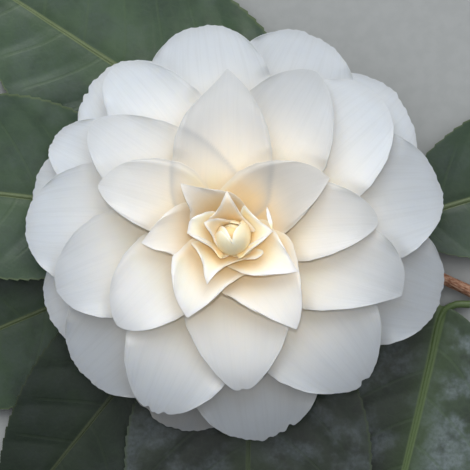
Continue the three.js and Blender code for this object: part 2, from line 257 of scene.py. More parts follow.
def turned(name: str, profile: Points, sides: int) -> Piece:
    """Raises a round solid about the flower's axis, ring by ring.

    Args:
        name: the name of the new mesh.
        profile: radius and height in millimetres of each ring, the lowest first.
        sides: faces round it.

    Returns:
        The closed solid.
    """
    clear_selection()
    radius, height = profile[0]
    foot = ORIGIN + Vector((0, 0, height * MM))
    bpy.ops.mesh.primitive_circle_add(
        vertices=sides, radius=radius * MM, fill_type="NGON", location=foot
    )
    piece = bpy.context.object
    piece.name = name
    bpy.ops.object.mode_set(mode="EDIT")
    bpy.ops.mesh.select_all(action="SELECT")
    for (below, low), (above, high) in zip(profile, profile[1:]):
        rise = {"value": (0, 0, (high - low) * MM)}
        bpy.ops.mesh.extrude_region_move(TRANSFORM_OT_translate=rise)
        middle = ORIGIN + Vector((0, 0, high * MM))
        scale = above / below
        bpy.ops.transform.resize(value=(scale, scale, 1), center_override=middle)
    bpy.ops.mesh.select_all(action="SELECT")
    bpy.ops.mesh.normals_make_consistent(inside=False)
    bpy.ops.object.mode_set(mode="OBJECT")
    bpy.ops.object.transform_apply(location=True, rotation=True, scale=True)
    bpy.ops.object.shade_smooth_by_angle(angle=math.radians(50))
    return piece


def curve_through(points: Sequence[Sequence[float]], shares: np.ndarray) -> np.ndarray:
    """Runs a smooth curve through points.

    Args:
        points: its points in millimetres.
        shares: where to read it, from 0 to 1.

    Returns:
        One place a row.
    """
    knots = np.array([points[0], *points, points[-1]], dtype=float)
    knots[0] = 2 * knots[1] - knots[2]
    knots[-1] = 2 * knots[-2] - knots[-3]
    lengths = np.linalg.norm(np.diff(knots[1:-1], axis=0), axis=1)
    marks = np.concatenate(([0], np.cumsum(lengths))) / lengths.sum()
    piece = np.clip(np.searchsorted(marks, shares, side="right") - 1, 0, len(lengths) - 1)
    part = ((shares - marks[piece]) / (marks[piece + 1] - marks[piece]))[:, None]
    first, second, third, fourth = (knots[piece + step] for step in range(4))
    return 0.5 * (
        2 * second
        + (third - first) * part
        + (2 * first - 5 * second + 4 * third - fourth) * part**2
        + (3 * second - first - 3 * third + fourth) * part**3
    )


def mark(piece: Piece, **values: np.ndarray | float) -> None:
    """Stores numbers in the vertices for the finish to read.

    Args:
        piece: the mesh.
        values: by the attribute's name, a number for each vertex or one for them all.
    """
    count = len(piece.data.vertices)
    for name, value in values.items():
        layer = piece.data.attributes.new(name, "FLOAT", "POINT")
        layer.data.foreach_set("value", np.full(count, value, dtype=np.float32))


def paint(piece: Piece, material: bpy.types.Material) -> None:
    """Gives a piece one finish all over."""
    piece.data.materials.clear()
    piece.data.materials.append(material)


def swung(out: np.ndarray, aside: np.ndarray, turn: float) -> tuple[np.ndarray, np.ndarray]:
    """Turns distances out and aside to the picture's own axes.

    Args:
        out: distances along a direction.
        aside: distances to its left.
        turn: the direction as an angle.

    Returns:
        The distances to the right and up, as seen from above.
    """
    right = out * math.cos(turn) - aside * math.sin(turn)
    up = out * math.sin(turn) + aside * math.cos(turn)
    return right, up


@dataclass(frozen=True)
class Fade:
    """A soft change between two distances from the flower's axis.

    Attributes:
        low: where it begins, in millimetres.
        high: where it ends.
        start: the share up to low.
        end: the share from high.
    """

    low: float
    high: float
    start: float = 0.0
    end: float = 1.0


class Recipe:
    """Builds the nodes of one finish and joins them to its shader."""

    def __init__(self, name: str) -> None:
        """Starts a material with the standard surface shader.

        Args:
            name: the material's name.
        """
        self.material = bpy.data.materials.new(name)
        self.material.use_nodes = True
        self.nodes = self.material.node_tree.nodes
        self.links = self.material.node_tree.links
        self.shader = self.nodes["Principled BSDF"]

    def feed(self, socket: Socket, value: object) -> None:
        """Links a socket to another, or sets its own value.

        Args:
            socket: the socket to feed.
            value: another socket, a number or a colour.
        """
        if isinstance(value, Socket):
            self.links.new(value, socket)
        else:
            socket.default_value = value

    def set(self, **values: object) -> None:
        """Sets sockets of the shader by name, with _ for each space."""
        for name, value in values.items():
            self.feed(self.shader.inputs[name.replace("_", " ")], value)

    def place(self) -> Socket:
        """Gives the place on the object in metres."""
        return self.nodes.new("ShaderNodeTexCoord").outputs["Object"]

    def uv(self) -> Socket:
        """Gives the piece's own UV map."""
        return self.nodes.new("ShaderNodeTexCoord").outputs["UV"]

    def centred(self, centre: Vector, scale: Sequence[float]) -> Socket:
        """Gives the place measured from a centre and scaled along each axis.

        Args:
            centre: the centre in metres.
            scale: one factor an axis.

        Returns:
            The vector.
        """
        node = self.nodes.new("ShaderNodeMapping")
        self.links.new(self.place(), node.inputs["Vector"])
        node.inputs["Location"].default_value = [-c * s for c, s in zip(centre, scale)]
        node.inputs["Scale"].default_value = scale
        return node.outputs["Vector"]

    def stretched(self, vector: Socket, scale: Sequence[float]) -> Socket:
        """Scales a vector along each axis.

        Args:
            vector: the vector.
            scale: one factor an axis.

        Returns:
            The scaled vector.
        """
        node = self.nodes.new("ShaderNodeMapping")
        self.links.new(vector, node.inputs["Vector"])
        node.inputs["Scale"].default_value = scale
        return node.outputs["Vector"]

    def length(self, vector: Socket) -> Socket:
        """Gives the length of a vector.

        Args:
            vector: the vector.

        Returns:
            Its length.
        """
        node = self.nodes.new("ShaderNodeVectorMath")
        node.operation = "LENGTH"
        self.links.new(vector, node.inputs[0])
        return node.outputs["Value"]

    def axis(self, vector: Socket, index: int) -> Socket:
        """Gives one number of a vector, counted from nought.

        Args:
            vector: the vector.
            index: which one.

        Returns:
            The number.
        """
        node = self.nodes.new("ShaderNodeSeparateXYZ")
        self.links.new(vector, node.inputs[0])
        return node.outputs[index]

    def stored(self, name: str) -> Socket:
        """Gives a number that the mesh holds for each vertex.

        Args:
            name: the name that it is stored under.

        Returns:
            The number.
        """
        node = self.nodes.new("ShaderNodeAttribute")
        node.attribute_name = name
        return node.outputs["Fac"]

    def sum(self, operation: str, *values: object) -> Socket:
        """Works one sum on numbers or sockets.

        Args:
            operation: the name of the sum, such as ADD.
            values: its numbers or sockets.

        Returns:
            The result.
        """
        node = self.nodes.new("ShaderNodeMath")
        node.operation = operation
        for socket, value in zip(node.inputs, values):
            self.feed(socket, value)
        return node.outputs[0]

    def times(self, first: object, second: object) -> Socket:
        """Multiplies two numbers or sockets."""
        return self.sum("MULTIPLY", first, second)

    def plus(self, first: object, second: object) -> Socket:
        """Adds two numbers or sockets."""
        return self.sum("ADD", first, second)

    def ramp(
        self, value: object, low: float, high: float, start: float = 0.0, end: float = 1.0
    ) -> Socket:
        """Moves softly from start to end while the value goes from low to high.

        Args:
            value: the number that leads.
            low: where the change begins.
            high: where it ends.
            start: the result up to low.
            end: the result from high.

        Returns:
            The result.
        """
        node = self.nodes.new("ShaderNodeMapRange")
        node.interpolation_type = "SMOOTHSTEP"
        names = ("Value", "From Min", "From Max", "To Min", "To Max")
        for name, number in zip(names, (value, low, high, start, end)):
            self.feed(node.inputs[name], number)
        return node.outputs["Result"]

    def fade(self, reach: Socket, fade: Fade) -> Socket:
        """Applies a soft change to a distance in metres."""
        return self.ramp(reach, fade.low * MM, fade.high * MM, fade.start, fade.end)

    def noise(self, vector: Socket, scale: float, detail: float = 3.0) -> Socket:
        """Gives soft noise between about 0.3 and 0.7.

        Args:
            vector: where to read it.
            scale: how fine it is.
            detail: how many finer steps it has.

        Returns:
            The noise.
        """
        node = self.nodes.new("ShaderNodeTexNoise")
        self.links.new(vector, node.inputs["Vector"])
        node.inputs["Scale"].default_value = scale
        node.inputs["Detail"].default_value = detail
        return node.outputs["Fac"]

    def cells(self, vector: Socket, scale: float) -> Socket:
        """Gives the distance to the nearest border of a net of cells.

        Args:
            vector: where to read it.
            scale: how fine the net is.

        Returns:
            The distance.
        """
        node = self.nodes.new("ShaderNodeTexVoronoi")
        node.feature = "DISTANCE_TO_EDGE"
        self.links.new(vector, node.inputs["Vector"])
        node.inputs["Scale"].default_value = scale
        return node.outputs["Distance"]

    def blend(self, factor: object, first: object, second: object) -> Socket:
        """Mixes two colours.

        Args:
            factor: 0 for the first, 1 for the second.
            first: a colour or a colour socket.
            second: a colour or a colour socket.

        Returns:
            The mixed colour.
        """
        node = self.nodes.new("ShaderNodeMix")
        node.data_type = "RGBA"
        colours = [socket for socket in node.inputs if socket.type == "RGBA"]
        self.feed(node.inputs["Factor"], factor)
        for socket, colour in zip(colours, (first, second)):
            self.feed(socket, (*colour, 1.0) if isinstance(colour, tuple) else colour)
        return [socket for socket in node.outputs if socket.type == "RGBA"][0]

    def relief(self, height: Socket, depth: float) -> None:
        """Raises the surface by a height map.

        Args:
            height: from 0 to 1.
            depth: millimetres from 0 to 1.
        """
        node = self.nodes.new("ShaderNodeBump")
        node.inputs["Strength"].default_value = 1.0
        node.inputs["Distance"].default_value = depth * MM
        self.links.new(height, node.inputs["Height"])
        self.links.new(node.outputs["Normal"], self.shader.inputs["Normal"])


@dataclass(frozen=True)
class PetalFinish:
    """Thin white petals that turn cream and then gold towards the heart.

    Attributes:
        white: the colour of the outer petals, greyer and bluer than milk as painted shade.
        milk: the colour of the petals within them.
        cream: the colour round the heart.
        gold: the colour of the feet of the inner petals.
        vein_and_shade_grey: the grey of the fine veins, and of the painted shade where a rim shows
            through from behind and along thin rims.
        gap_shade: the painted shade deep in the gaps between the petals.
        rim: the colour of the painted highlight along the margins of the inner petals.
        bud_gap_shade: the painted shade in the gaps right round the bud.
        whitening: how milk turns to white outwards, painted shade that dims the outer petals.
        warming: how much cream there is.
        foot_warming: how much cream the petals' feet have besides.
        deepening: how much gold the petals' feet have.
        bud_edge: where the gold round the bud begins.
        bud_glow: how that gold fades outwards.
        veining: how clearly the fine veins show.
        shading: how much painted shade colours a petal right beside another above it.
        gap_paling: how the painted shade round the bud turns outwards to the painted shade of the
            other gaps.
        gloss: roughness of the skin.
    """

    white: Colour = (0.77, 0.815, 0.86)
    milk: Colour = (0.95, 0.95, 0.935)
    cream: Colour = (0.99, 0.90, 0.745)
    gold: Colour = (1.0, 0.805, 0.5)
    vein_and_shade_grey: Colour = (0.61, 0.635, 0.65)
    gap_shade: Colour = (0.63, 0.555, 0.44)
    rim: Colour = (0.98, 0.96, 0.93)
    bud_gap_shade: Colour = (0.78, 0.58, 0.24)
    whitening: Fade = Fade(24, 50)
    warming: Fade = Fade(6, 30, 0.9, 0.0)
    foot_warming: Fade = Fade(20, 44, 1.0, 0.15)
    deepening: Fade = Fade(8, 20, 1.0, 0.0)
    bud_edge: Fade = Fade(4.2, 5.5)
    bud_glow: Fade = Fade(5, 13, 0.75, 0.0)
    veining: Fade = Fade(28, 50, 0.06, 0.19)
    shading: Fade = Fade(12, 30, 0.5, 0.21)
    gap_paling: Fade = Fade(6, 15)
    gloss: float = 0.6

    def make(self) -> bpy.types.Material:
        """Builds the material.

        Returns:
            The material.
        """
        recipe = Recipe("petal_white")
        centre = Vector((ORIGIN.x, ORIGIN.y, 0))
        reach = recipe.length(recipe.centred(centre, (1, 1, 0)))
        cloud = recipe.noise(recipe.place(), 90.0)
        reach = recipe.plus(reach, recipe.times(cloud, 4 * MM))
        out = recipe.stored("out_share")
        # painted shade: the outer petals turn greyer and bluer
        colour = recipe.blend(recipe.fade(reach, self.whitening), self.milk, self.white)
        warmth = recipe.fade(reach, self.warming)
        foot = recipe.ramp(out, 0.25, 0.9, 1.0, 0.0)
        foot_warmth = recipe.times(foot, recipe.fade(reach, self.foot_warming))
        warmth = recipe.sum("MAXIMUM", warmth, foot_warmth)
        colour = recipe.blend(warmth, colour, self.cream)
        deep = recipe.fade(reach, self.deepening)
        deep = recipe.times(deep, recipe.ramp(out, 0.45, 0.88, 1.0, 0.0))
        past_bud = recipe.fade(reach, self.bud_edge)
        round_bud = recipe.times(past_bud, recipe.fade(reach, self.bud_glow))
        deep = recipe.sum("MAXIMUM", deep, round_bud)
        colour = recipe.blend(deep, colour, self.gold)
        ray = recipe.noise(recipe.stretched(recipe.uv(), (38.0, 2.0, 1.0)), 1.0, 3.0)
        veins = recipe.ramp(ray, 0.46, 0.68)
        veins = recipe.times(veins, recipe.fade(reach, self.veining))
        colour = recipe.blend(veins, colour, self.vein_and_shade_grey)
        # painted shade: a darker band where the rim of a petal behind shows through, and along the
        # thin rims
        behind = recipe.times(recipe.stored("behind"), 0.9)
        colour = recipe.blend(behind, colour, self.vein_and_shade_grey)
        # painted highlight: the margins of the inner petals turn pale
        colour = recipe.blend(recipe.times(recipe.stored("pale"), 0.8), colour, self.rim)
        # painted shade: each petal darkened by its tone
        colour = recipe.blend(recipe.stored("tone"), (0.0, 0.0, 0.0), colour)
        # painted shade: a petal darkens to the colours of the gaps beside the margin of a petal
        # above it
        close = recipe.times(recipe.stored("near"), recipe.fade(reach, self.shading))
        painted_gap_colour = recipe.blend(recipe.fade(reach, self.gap_paling), self.bud_gap_shade, self.gap_shade)
        colour = recipe.blend(close, colour, painted_gap_colour)
        recipe.set(Base_Color=colour, Roughness=self.gloss, Subsurface_Weight=0.9)
        recipe.set(Subsurface_Radius=(1.0, 0.93, 0.8), Subsurface_Scale=0.35 * MM)
        recipe.set(Specular_IOR_Level=0.3)
        recipe.relief(recipe.plus(ray, recipe.noise(recipe.place(), 700.0)), 0.03)
        return recipe.material


@dataclass(frozen=True)
class LeafFinish:
    """Dark leathery leaves with pale ribs and a waxy skin.

    Attributes:
        dark: the deeper green of the blade.
        light: the lighter green of the blade.
        rib: the colour of the middle rib.
        side_rib: the colour of the side veins.
        pitch: millimetres between side veins at the rib.
        name: the material's name.
        shine: how strongly the skin mirrors the light.
        sheen_and_blots: how clearly greyish patches of painted sheen cloud the skin, and how dark
            the small blots are.
        sheen_grey: the colour of those patches, a painted reflection of the sky.
        moss: the fresher green along the rib.
        halo: how clearly that green shows.
        blot: the colour of the small dark blots.
        roughness: how dull the skin is.
    """

    dark: Colour = (0.039, 0.076, 0.042)
    light: Colour = (0.074, 0.130, 0.068)
    rib: Colour = (0.15, 0.20, 0.085)
    side_rib: Colour = (0.085, 0.14, 0.06)
    pitch: float = VEIN_PITCH
    name: str = "leaf_green"
    shine: float = 0.4
    sheen_and_blots: float = 0.25
    sheen_grey: Colour = (0.115, 0.145, 0.15)
    moss: Colour = (0.05, 0.09, 0.028)
    halo: float = 0.2
    blot: Colour = (0.022, 0.034, 0.022)
    roughness: float = 0.36

    def make(self) -> bpy.types.Material:
        """Builds the material.

        Returns:
            The material.
        """
        recipe = Recipe(self.name)
        flat = recipe.uv()
        side = recipe.times(recipe.axis(flat, 0), UV_SPAN)
        out = recipe.times(recipe.axis(flat, 1), UV_SPAN)
        away = recipe.sum("ABSOLUTE", side)
        edge = recipe.stored("edge_share")
        cloud = recipe.noise(recipe.place(), 55.0, 4.0)
        colour = recipe.blend(recipe.ramp(cloud, 0.35, 0.65), self.dark, self.light)
        # painted sheen: greyish patches that stand for the sky's reflection
        patch = recipe.ramp(recipe.noise(recipe.place(), 120.0, 7.0), 0.42, 0.6)
        patch = recipe.times(patch, self.sheen_and_blots)
        grain = recipe.ramp(recipe.noise(recipe.place(), 1100.0, 3.0), 0.3, 0.7, 0.55, 1.0)
        colour = recipe.blend(recipe.times(patch, grain), colour, self.sheen_grey)
        blot = recipe.noise(recipe.place(), 260.0, 5.0)
        blot = recipe.ramp(blot, 0.5, 0.72, 0.0, 0.9 * self.sheen_and_blots)
        colour = recipe.blend(blot, colour, self.blot)
        colour = recipe.blend(recipe.ramp(away, 1.5, 7.5, self.halo, 0.0), colour, self.moss)
        net = recipe.cells(recipe.place(), 520.0)
        mesh = recipe.ramp(net, 0.02, 0.2, 1.0, 0.0)
        colour = recipe.blend(recipe.times(mesh, 0.1), colour, self.side_rib)
        bend = recipe.times(recipe.times(away, away), VEIN_BOW)
        lean = recipe.plus(recipe.times(away, VEIN_LEAN), bend)
        start = recipe.sum("SUBTRACT", out, lean)
        offset = recipe.times(recipe.sum("SIGN", side), VEIN_STAGGER)
        turn = recipe.plus(recipe.sum("DIVIDE", start, self.pitch), offset)
        wobble = recipe.times(recipe.noise(recipe.place(), 30.0, 1.0), 0.5)
        turn = recipe.plus(turn, wobble)
        near = recipe.sum("ABSOLUTE", recipe.sum("SUBTRACT", recipe.sum("FRACT", turn), 0.5))
        vein = recipe.ramp(near, 0.012, 0.055, 1.0, 0.0)
        vein = recipe.times(vein, recipe.ramp(edge, 0.6, 0.9, 1.0, 0.0))
        colour = recipe.blend(recipe.times(vein, 0.3), colour, self.side_rib)
        width = recipe.stored("rib_width")
        band = recipe.sum("DIVIDE", away, recipe.plus(width, 0.01))
        colour = recipe.blend(recipe.ramp(band, 0.7, 1.15, 1.0, 0.0), colour, self.rib)
        rim = recipe.ramp(edge, 0.965, 0.995)
        colour = recipe.blend(recipe.times(rim, 0.6), colour, self.rib)
        # each leaf darkened by its tone: painted shade for the leaves in the flower's shade and on
        # the dimmed half
        colour = recipe.blend(recipe.stored("tone"), (0.0, 0.0, 0.0), colour)
        recipe.set(Base_Color=colour, Roughness=self.roughness, Specular_IOR_Level=self.shine)
        recipe.set(Coat_Weight=0.4 * self.shine, Coat_Roughness=0.2)
        fine = recipe.times(recipe.noise(recipe.place(), 700.0), 0.5)
        height = recipe.sum("SUBTRACT", fine, recipe.times(mesh, 0.12))
        height = recipe.sum("SUBTRACT", height, recipe.times(vein, 0.4))
        recipe.relief(height, 0.09)
        return recipe.material


@dataclass(frozen=True)
class BarkFinish:
    """Thin reddish brown bark with pale wrinkles along the twig.

    Attributes:
        brown: the colour of the bark.
        pale: the colour of its worn ridges.
        dark: the colour of its cracks.
    """

    brown: Colour = (0.33, 0.15, 0.085)
    pale: Colour = (0.52, 0.32, 0.22)
    dark: Colour = (0.10, 0.045, 0.028)

    def make(self) -> bpy.types.Material:
        """Builds the material.

        Returns:
            The material.
        """
        recipe = Recipe("twig_bark")
        along = recipe.stretched(recipe.uv(), (9.0, 26.0, 1.0))
        streak = recipe.noise(along, 2.4, 5.0)
        speck = recipe.noise(recipe.place(), 1400.0, 2.0)
        colour = recipe.blend(recipe.ramp(streak, 0.42, 0.66), self.brown, self.pale)
        colour = recipe.blend(recipe.ramp(streak, 0.30, 0.42, 0.85, 0.0), colour, self.dark)
        colour = recipe.blend(recipe.ramp(speck, 0.58, 0.68, 0.0, 0.55), colour, self.pale)
        recipe.set(Base_Color=colour, Roughness=0.72, Specular_IOR_Level=0.3)
        recipe.relief(recipe.plus(streak, recipe.times(speck, 0.5)), 0.35)
        return recipe.material


@dataclass(frozen=True)
class GreenFinish:
    """Soft green skin of the bud scales and of the flower's stalk.

    Attributes:
        name: the material's name.
        green: the main colour.
        tip: the colour towards the rims.
        roughness: how dull the skin is.
    """

    name: str
    green: Colour
    tip: Colour
    roughness: float = 0.6

    def make(self) -> bpy.types.Material:
        """Builds the material.

        Returns:
            The material.
        """
        recipe = Recipe(self.name)
        patch = recipe.noise(recipe.place(), 160.0, 4.0)
        colour = recipe.blend(recipe.ramp(patch, 0.4, 0.62), self.green, self.tip)
        down = recipe.noise(recipe.place(), 2600.0, 2.0)
        colour = recipe.blend(recipe.ramp(down, 0.5, 0.7, 0.0, 0.3), colour, self.tip)
        recipe.set(Base_Color=colour, Roughness=self.roughness, Sheen_Weight=0.25)
        recipe.set(Specular_IOR_Level=0.35, Sheen_Roughness=0.5)
        recipe.relief(down, 0.1)
        return recipe.material


@dataclass(frozen=True)
class FloorFinish:
    """Plain pale paper under the sprig.

    Attributes:
        tone: the colour of the paper.
    """

    tone: Colour = (0.46, 0.475, 0.47)

    def make(self) -> bpy.types.Material:
        """Builds the material.

        Returns:
            The material.
        """
        recipe = Recipe("pale_floor")
        grain = recipe.noise(recipe.place(), 300.0, 3.0)
        other = tuple(value * 0.95 for value in self.tone)
        recipe.set(Base_Color=recipe.blend(recipe.ramp(grain, 0.35, 0.65), self.tone, other))
        recipe.set(Roughness=0.9, Specular_IOR_Level=0.2)
        return recipe.material


@dataclass(frozen=True)
class Layer:
    """The shape that the petals of one layer share; the layers nest without touching.

    Attributes:
        number: its place from the outside in.
        tip: height of the petals' tips.
        foot: distance of their feet from the axis.
        seat: height of their feet.
        swell: how far they belly up between foot and tip.
    """

    number: float
    tip: float
    foot: float
    seat: float
    swell: float


LAYERS = (
    Layer(0, 15.5, 7.4, 16.4, 4.2),
    Layer(3.5, 22.8, 6.4, 18.0, 3.6),
    Layer(6, 29.6, 5.4, 20.5, 2.4),
    Layer(8, 34.4, 4.4, 24.0, 1.5),
    Layer(10.4, 40.0, 3.0, 29.5, 0.6),
    Layer(12.6, 43.5, 1.6, 34.0, 0.0),
)


def layer_at(number: float) -> Layer:
    """Works out a layer between the named ones.

    Args:
        number: its place from the outside in.

    Returns:
        The layer.
    """
    numbers = [layer.number for layer in LAYERS]
    values = [
        float(np.interp(number, numbers, [getattr(layer, name) for layer in LAYERS]))
        for name in ("tip", "foot", "seat", "swell")
    ]
    return Layer(number, *values)


@dataclass(frozen=True)
class Nick:
    """A small bite out of a petal's margin.

    Attributes:
        across: where it is along the outer margin, from 0 at the right to 1 at the left.
        depth: how much of the reach is gone.
        width: its width as a share of the margin.
    """

    across: float
    depth: float
    width: float


@dataclass(frozen=True)
class Petal:
    """One petal, by its outline as seen from above.

    Attributes:
        turn: direction of its tip, in degrees from the picture's right.
        reach: distance of its tip from the axis.
        left: half width on its left.
        right: half width on its right.
        widest: share of the reach where it is widest.
        point_left: how pointed the left of its tip is.
        point_right: how pointed the right of its tip is.
        layer: its place in the nest.
        crease: depth of the fold down its middle.
        nicks: bites out of its margin.
        base: half width at its foot, as a share of the half width.
        trace_left: its left margin, out and aside, where it is traced.
        trace_right: its right margin, out and aside, where it is traced.
        lip: how far its sides stand up.
        shows: layers of the petals behind whose rims show softly through as painted shade.
        tone: 1 for the whitest petals, less for those darkened by painted shade beyond their feet.
    """

    turn: float
    reach: float
    left: float
    right: float
    widest: float
    point_left: float
    point_right: float
    layer: float
    crease: float = 0.25
    nicks: tuple[Nick, ...] = ()
    base: float = 0.35
    trace_left: tuple[tuple[float, float], ...] = ()
    trace_right: tuple[tuple[float, float], ...] = ()
    lip: float = 0.0
    shows: tuple[float, ...] = ()
    tone: float = 1.0


def traced(
    layer: float,
    tip: tuple[float, float],
    left: Points,
    right: Points,
    crease: float = 0.3,
    lip: float = 0.0,
    shows: tuple[float, ...] = (),
    tone: float = 1.0,
    rooted: bool = True,
) -> Petal:
    """Describes a petal by the course of its two margins as seen from above.

    Args:
        layer: its place in the nest.
        tip: its tip, from the flower's axis.
        left: points of its left margin, from the foot outwards.
        right: points of its right margin, from the foot outwards.
        crease: depth of the fold down its middle.
        lip: how far its sides stand up.
        shows: layers of the petals behind whose rims show softly through as painted shade.
        tone: 1 for the whitest petals, less for those darkened by painted shade beyond their feet.
        rooted: whether its margins start at the ring of feet round the axis.

    Returns:
        The petal.
    """
    foot = 0.5 * layer_at(layer).foot
    turn = math.atan2(tip[1], tip[0])
    reach = math.hypot(*tip)
    ahead = np.array((math.cos(turn), math.sin(turn)))
    across = np.array((-math.sin(turn), math.cos(turn)))
    rows = []
    for side, points in ((1, left), (-1, right)):
        own = [(float(np.dot(point, ahead)), float(np.dot(point, across))) for point in points]
        rows.append((((foot, 0.8 * foot * side),) if rooted else ()) + (*own, (reach, 0.0)))
    left_width, right_width = (max(abs(aside) for _, aside in row) for row in rows)
    return Petal(
        turn=math.degrees(turn),
        reach=reach,
        left=left_width,
        right=right_width,
        widest=0.5,
        point_left=1,
        point_right=1,
        layer=layer,
        crease=crease,
        trace_left=rows[0],
        trace_right=rows[1],
        lip=lip,
        shows=shows,
        tone=tone,
    )


def rolled_rim(
    layer: float,
    tip: tuple[float, float],
    left: Points,
    right: Points,
) -> Petal:
    """Describes the rolled rim of a petal, which lies on its margin as a narrow band, pale with
    painted highlight.

    Args:
        layer: its place in the nest.
        tip: where it ends, from the flower's axis.
        left: points of its left margin, from where it starts.
        right: points of its right margin, from where it starts.

    Returns:
        The band, described as a petal.
    """
    return traced(layer, tip, left, right, crease=0.0, lip=0.3, rooted=False)


OUTER_PETALS = (
    Petal(165.5, 49, 16, 16, 0.64, 1, 1, 0),
    Petal(40, 52, 17, 19, 0.65, 1, 1, 0),
    Petal(-106, 48.3, 15, 17, 0.66, 1, 1, 0, 0.2, (Nick(0.2, 0.02, 0.05),), tone=0.5),
    Petal(-156, 48, 16, 16, 0.65, 1, 1, 0.5),
    Petal(
        129, 50, 15, 15, 0.64, 0.9, 0.9, 0.6, 0.3,
        (Nick(0.7, 0.014, 0.03), Nick(0.8, 0.012, 0.02)),
    ),
    Petal(-17, 52.5, 17, 16, 0.65, 1, 1, 0.6, tone=0.85),
    Petal(151.5, 48.9, 9.5, 12.4, 0.64, 0.9, 1.1, 1.4),
    Petal(68, 52, 17, 17, 0.65, 1, 1, 1.2, tone=0.86),
    Petal(-137, 49, 17.5, 16.5, 0.63, 1, 1, 1, tone=0.86),
    Petal(
        -82, 49.4, 17.5, 16, 0.63, 1, 1, 1.5, 0.3,
        (Nick(0.58, 0.012, 0.022), Nick(0.67, 0.014, 0.025), Nick(0.77, 0.02, 0.03)),
        tone=0.78,
    ),
    Petal(11, 51.6, 19.5, 14, 0.64, 1, 1.1, 1.7, 0.5, tone=0.9),
    Petal(178, 49.6, 14, 16.5, 0.63, 1, 1, 1.8),
    Petal(98, 51, 17, 15, 0.63, 1, 1, 2.2, tone=0.87),
)

MIDDLE_PETALS = (
    Petal(43, 48.6, 16.5, 14, 0.58, 1, 0.95, 3, tone=0.95),
    Petal(-48, 47.5, 17, 15.8, 0.59, 1.2, 1.15, 2.9, 0.3, (Nick(0.5, 0.02, 0.06),), tone=0.93),
    Petal(126, 49.3, 8.8, 14, 0.58, 1, 1, 3.6, tone=0.96),
    Petal(-163, 44, 11.5, 14.5, 0.6, 1.1, 1.1, 3.1),
    Petal(
        -114, 46.4, 14, 14, 0.59, 1.15, 1.1, 3.8, 0.3,
        (Nick(0.41, 0.018, 0.035), Nick(0.52, 0.01, 0.025), Nick(0.63, 0.014, 0.04)),
    ),
    Petal(62, 43.9, 14, 12, 0.55, 1.05, 1.25, 4.3, tone=0.77),
    Petal(-19, 42.9, 14, 10.8, 0.52, 0.9, 1.6, 4.6, 0.5, tone=0.88),
    Petal(141, 43, 11, 13.4, 0.45, 1.05, 1.25, 4.8, 0.25, (), 0.85, tone=0.9),
    Petal(-86, 37.5, 13.5, 13, 0.45, 1.35, 1.35, 5, 0.5, (Nick(0.5, 0.026, 0.1),), tone=0.91),
    Petal(-142, 34.5, 8, 13.2, 0.5, 1.1, 1.05, 5.6),
    Petal(5, 35, 12, 7.5, 0.48, 1.1, 1.35, 6, tone=0.82),
    traced(
        6.2,
        (-1.2, 39.8),
        (
            (-10.6, 2.4), (-13.9, 8.6), (-14.4, 13.4), (-14.2, 18.2), (-13.6, 23.0),
            (-11.8, 27.8), (-8.9, 31.7), (-5.8, 34.8), (-3.1, 37.4),
        ),
        (
            (3.4, 3.4), (8.2, 7.4), (9.2, 13.4), (9.6, 18.2), (9.1, 23.0), (7.8, 27.8),
            (6.0, 31.4), (3.4, 35.5), (0.7, 38.4),
        ),
        crease=0.5, lip=0.0, shows=(4.8,), tone=0.77,
    ),
    Petal(159, 33.9, 6, 11.8, 0.5, 1.1, 1.05, 6.6, shows=(6.2,), tone=0.86),
)

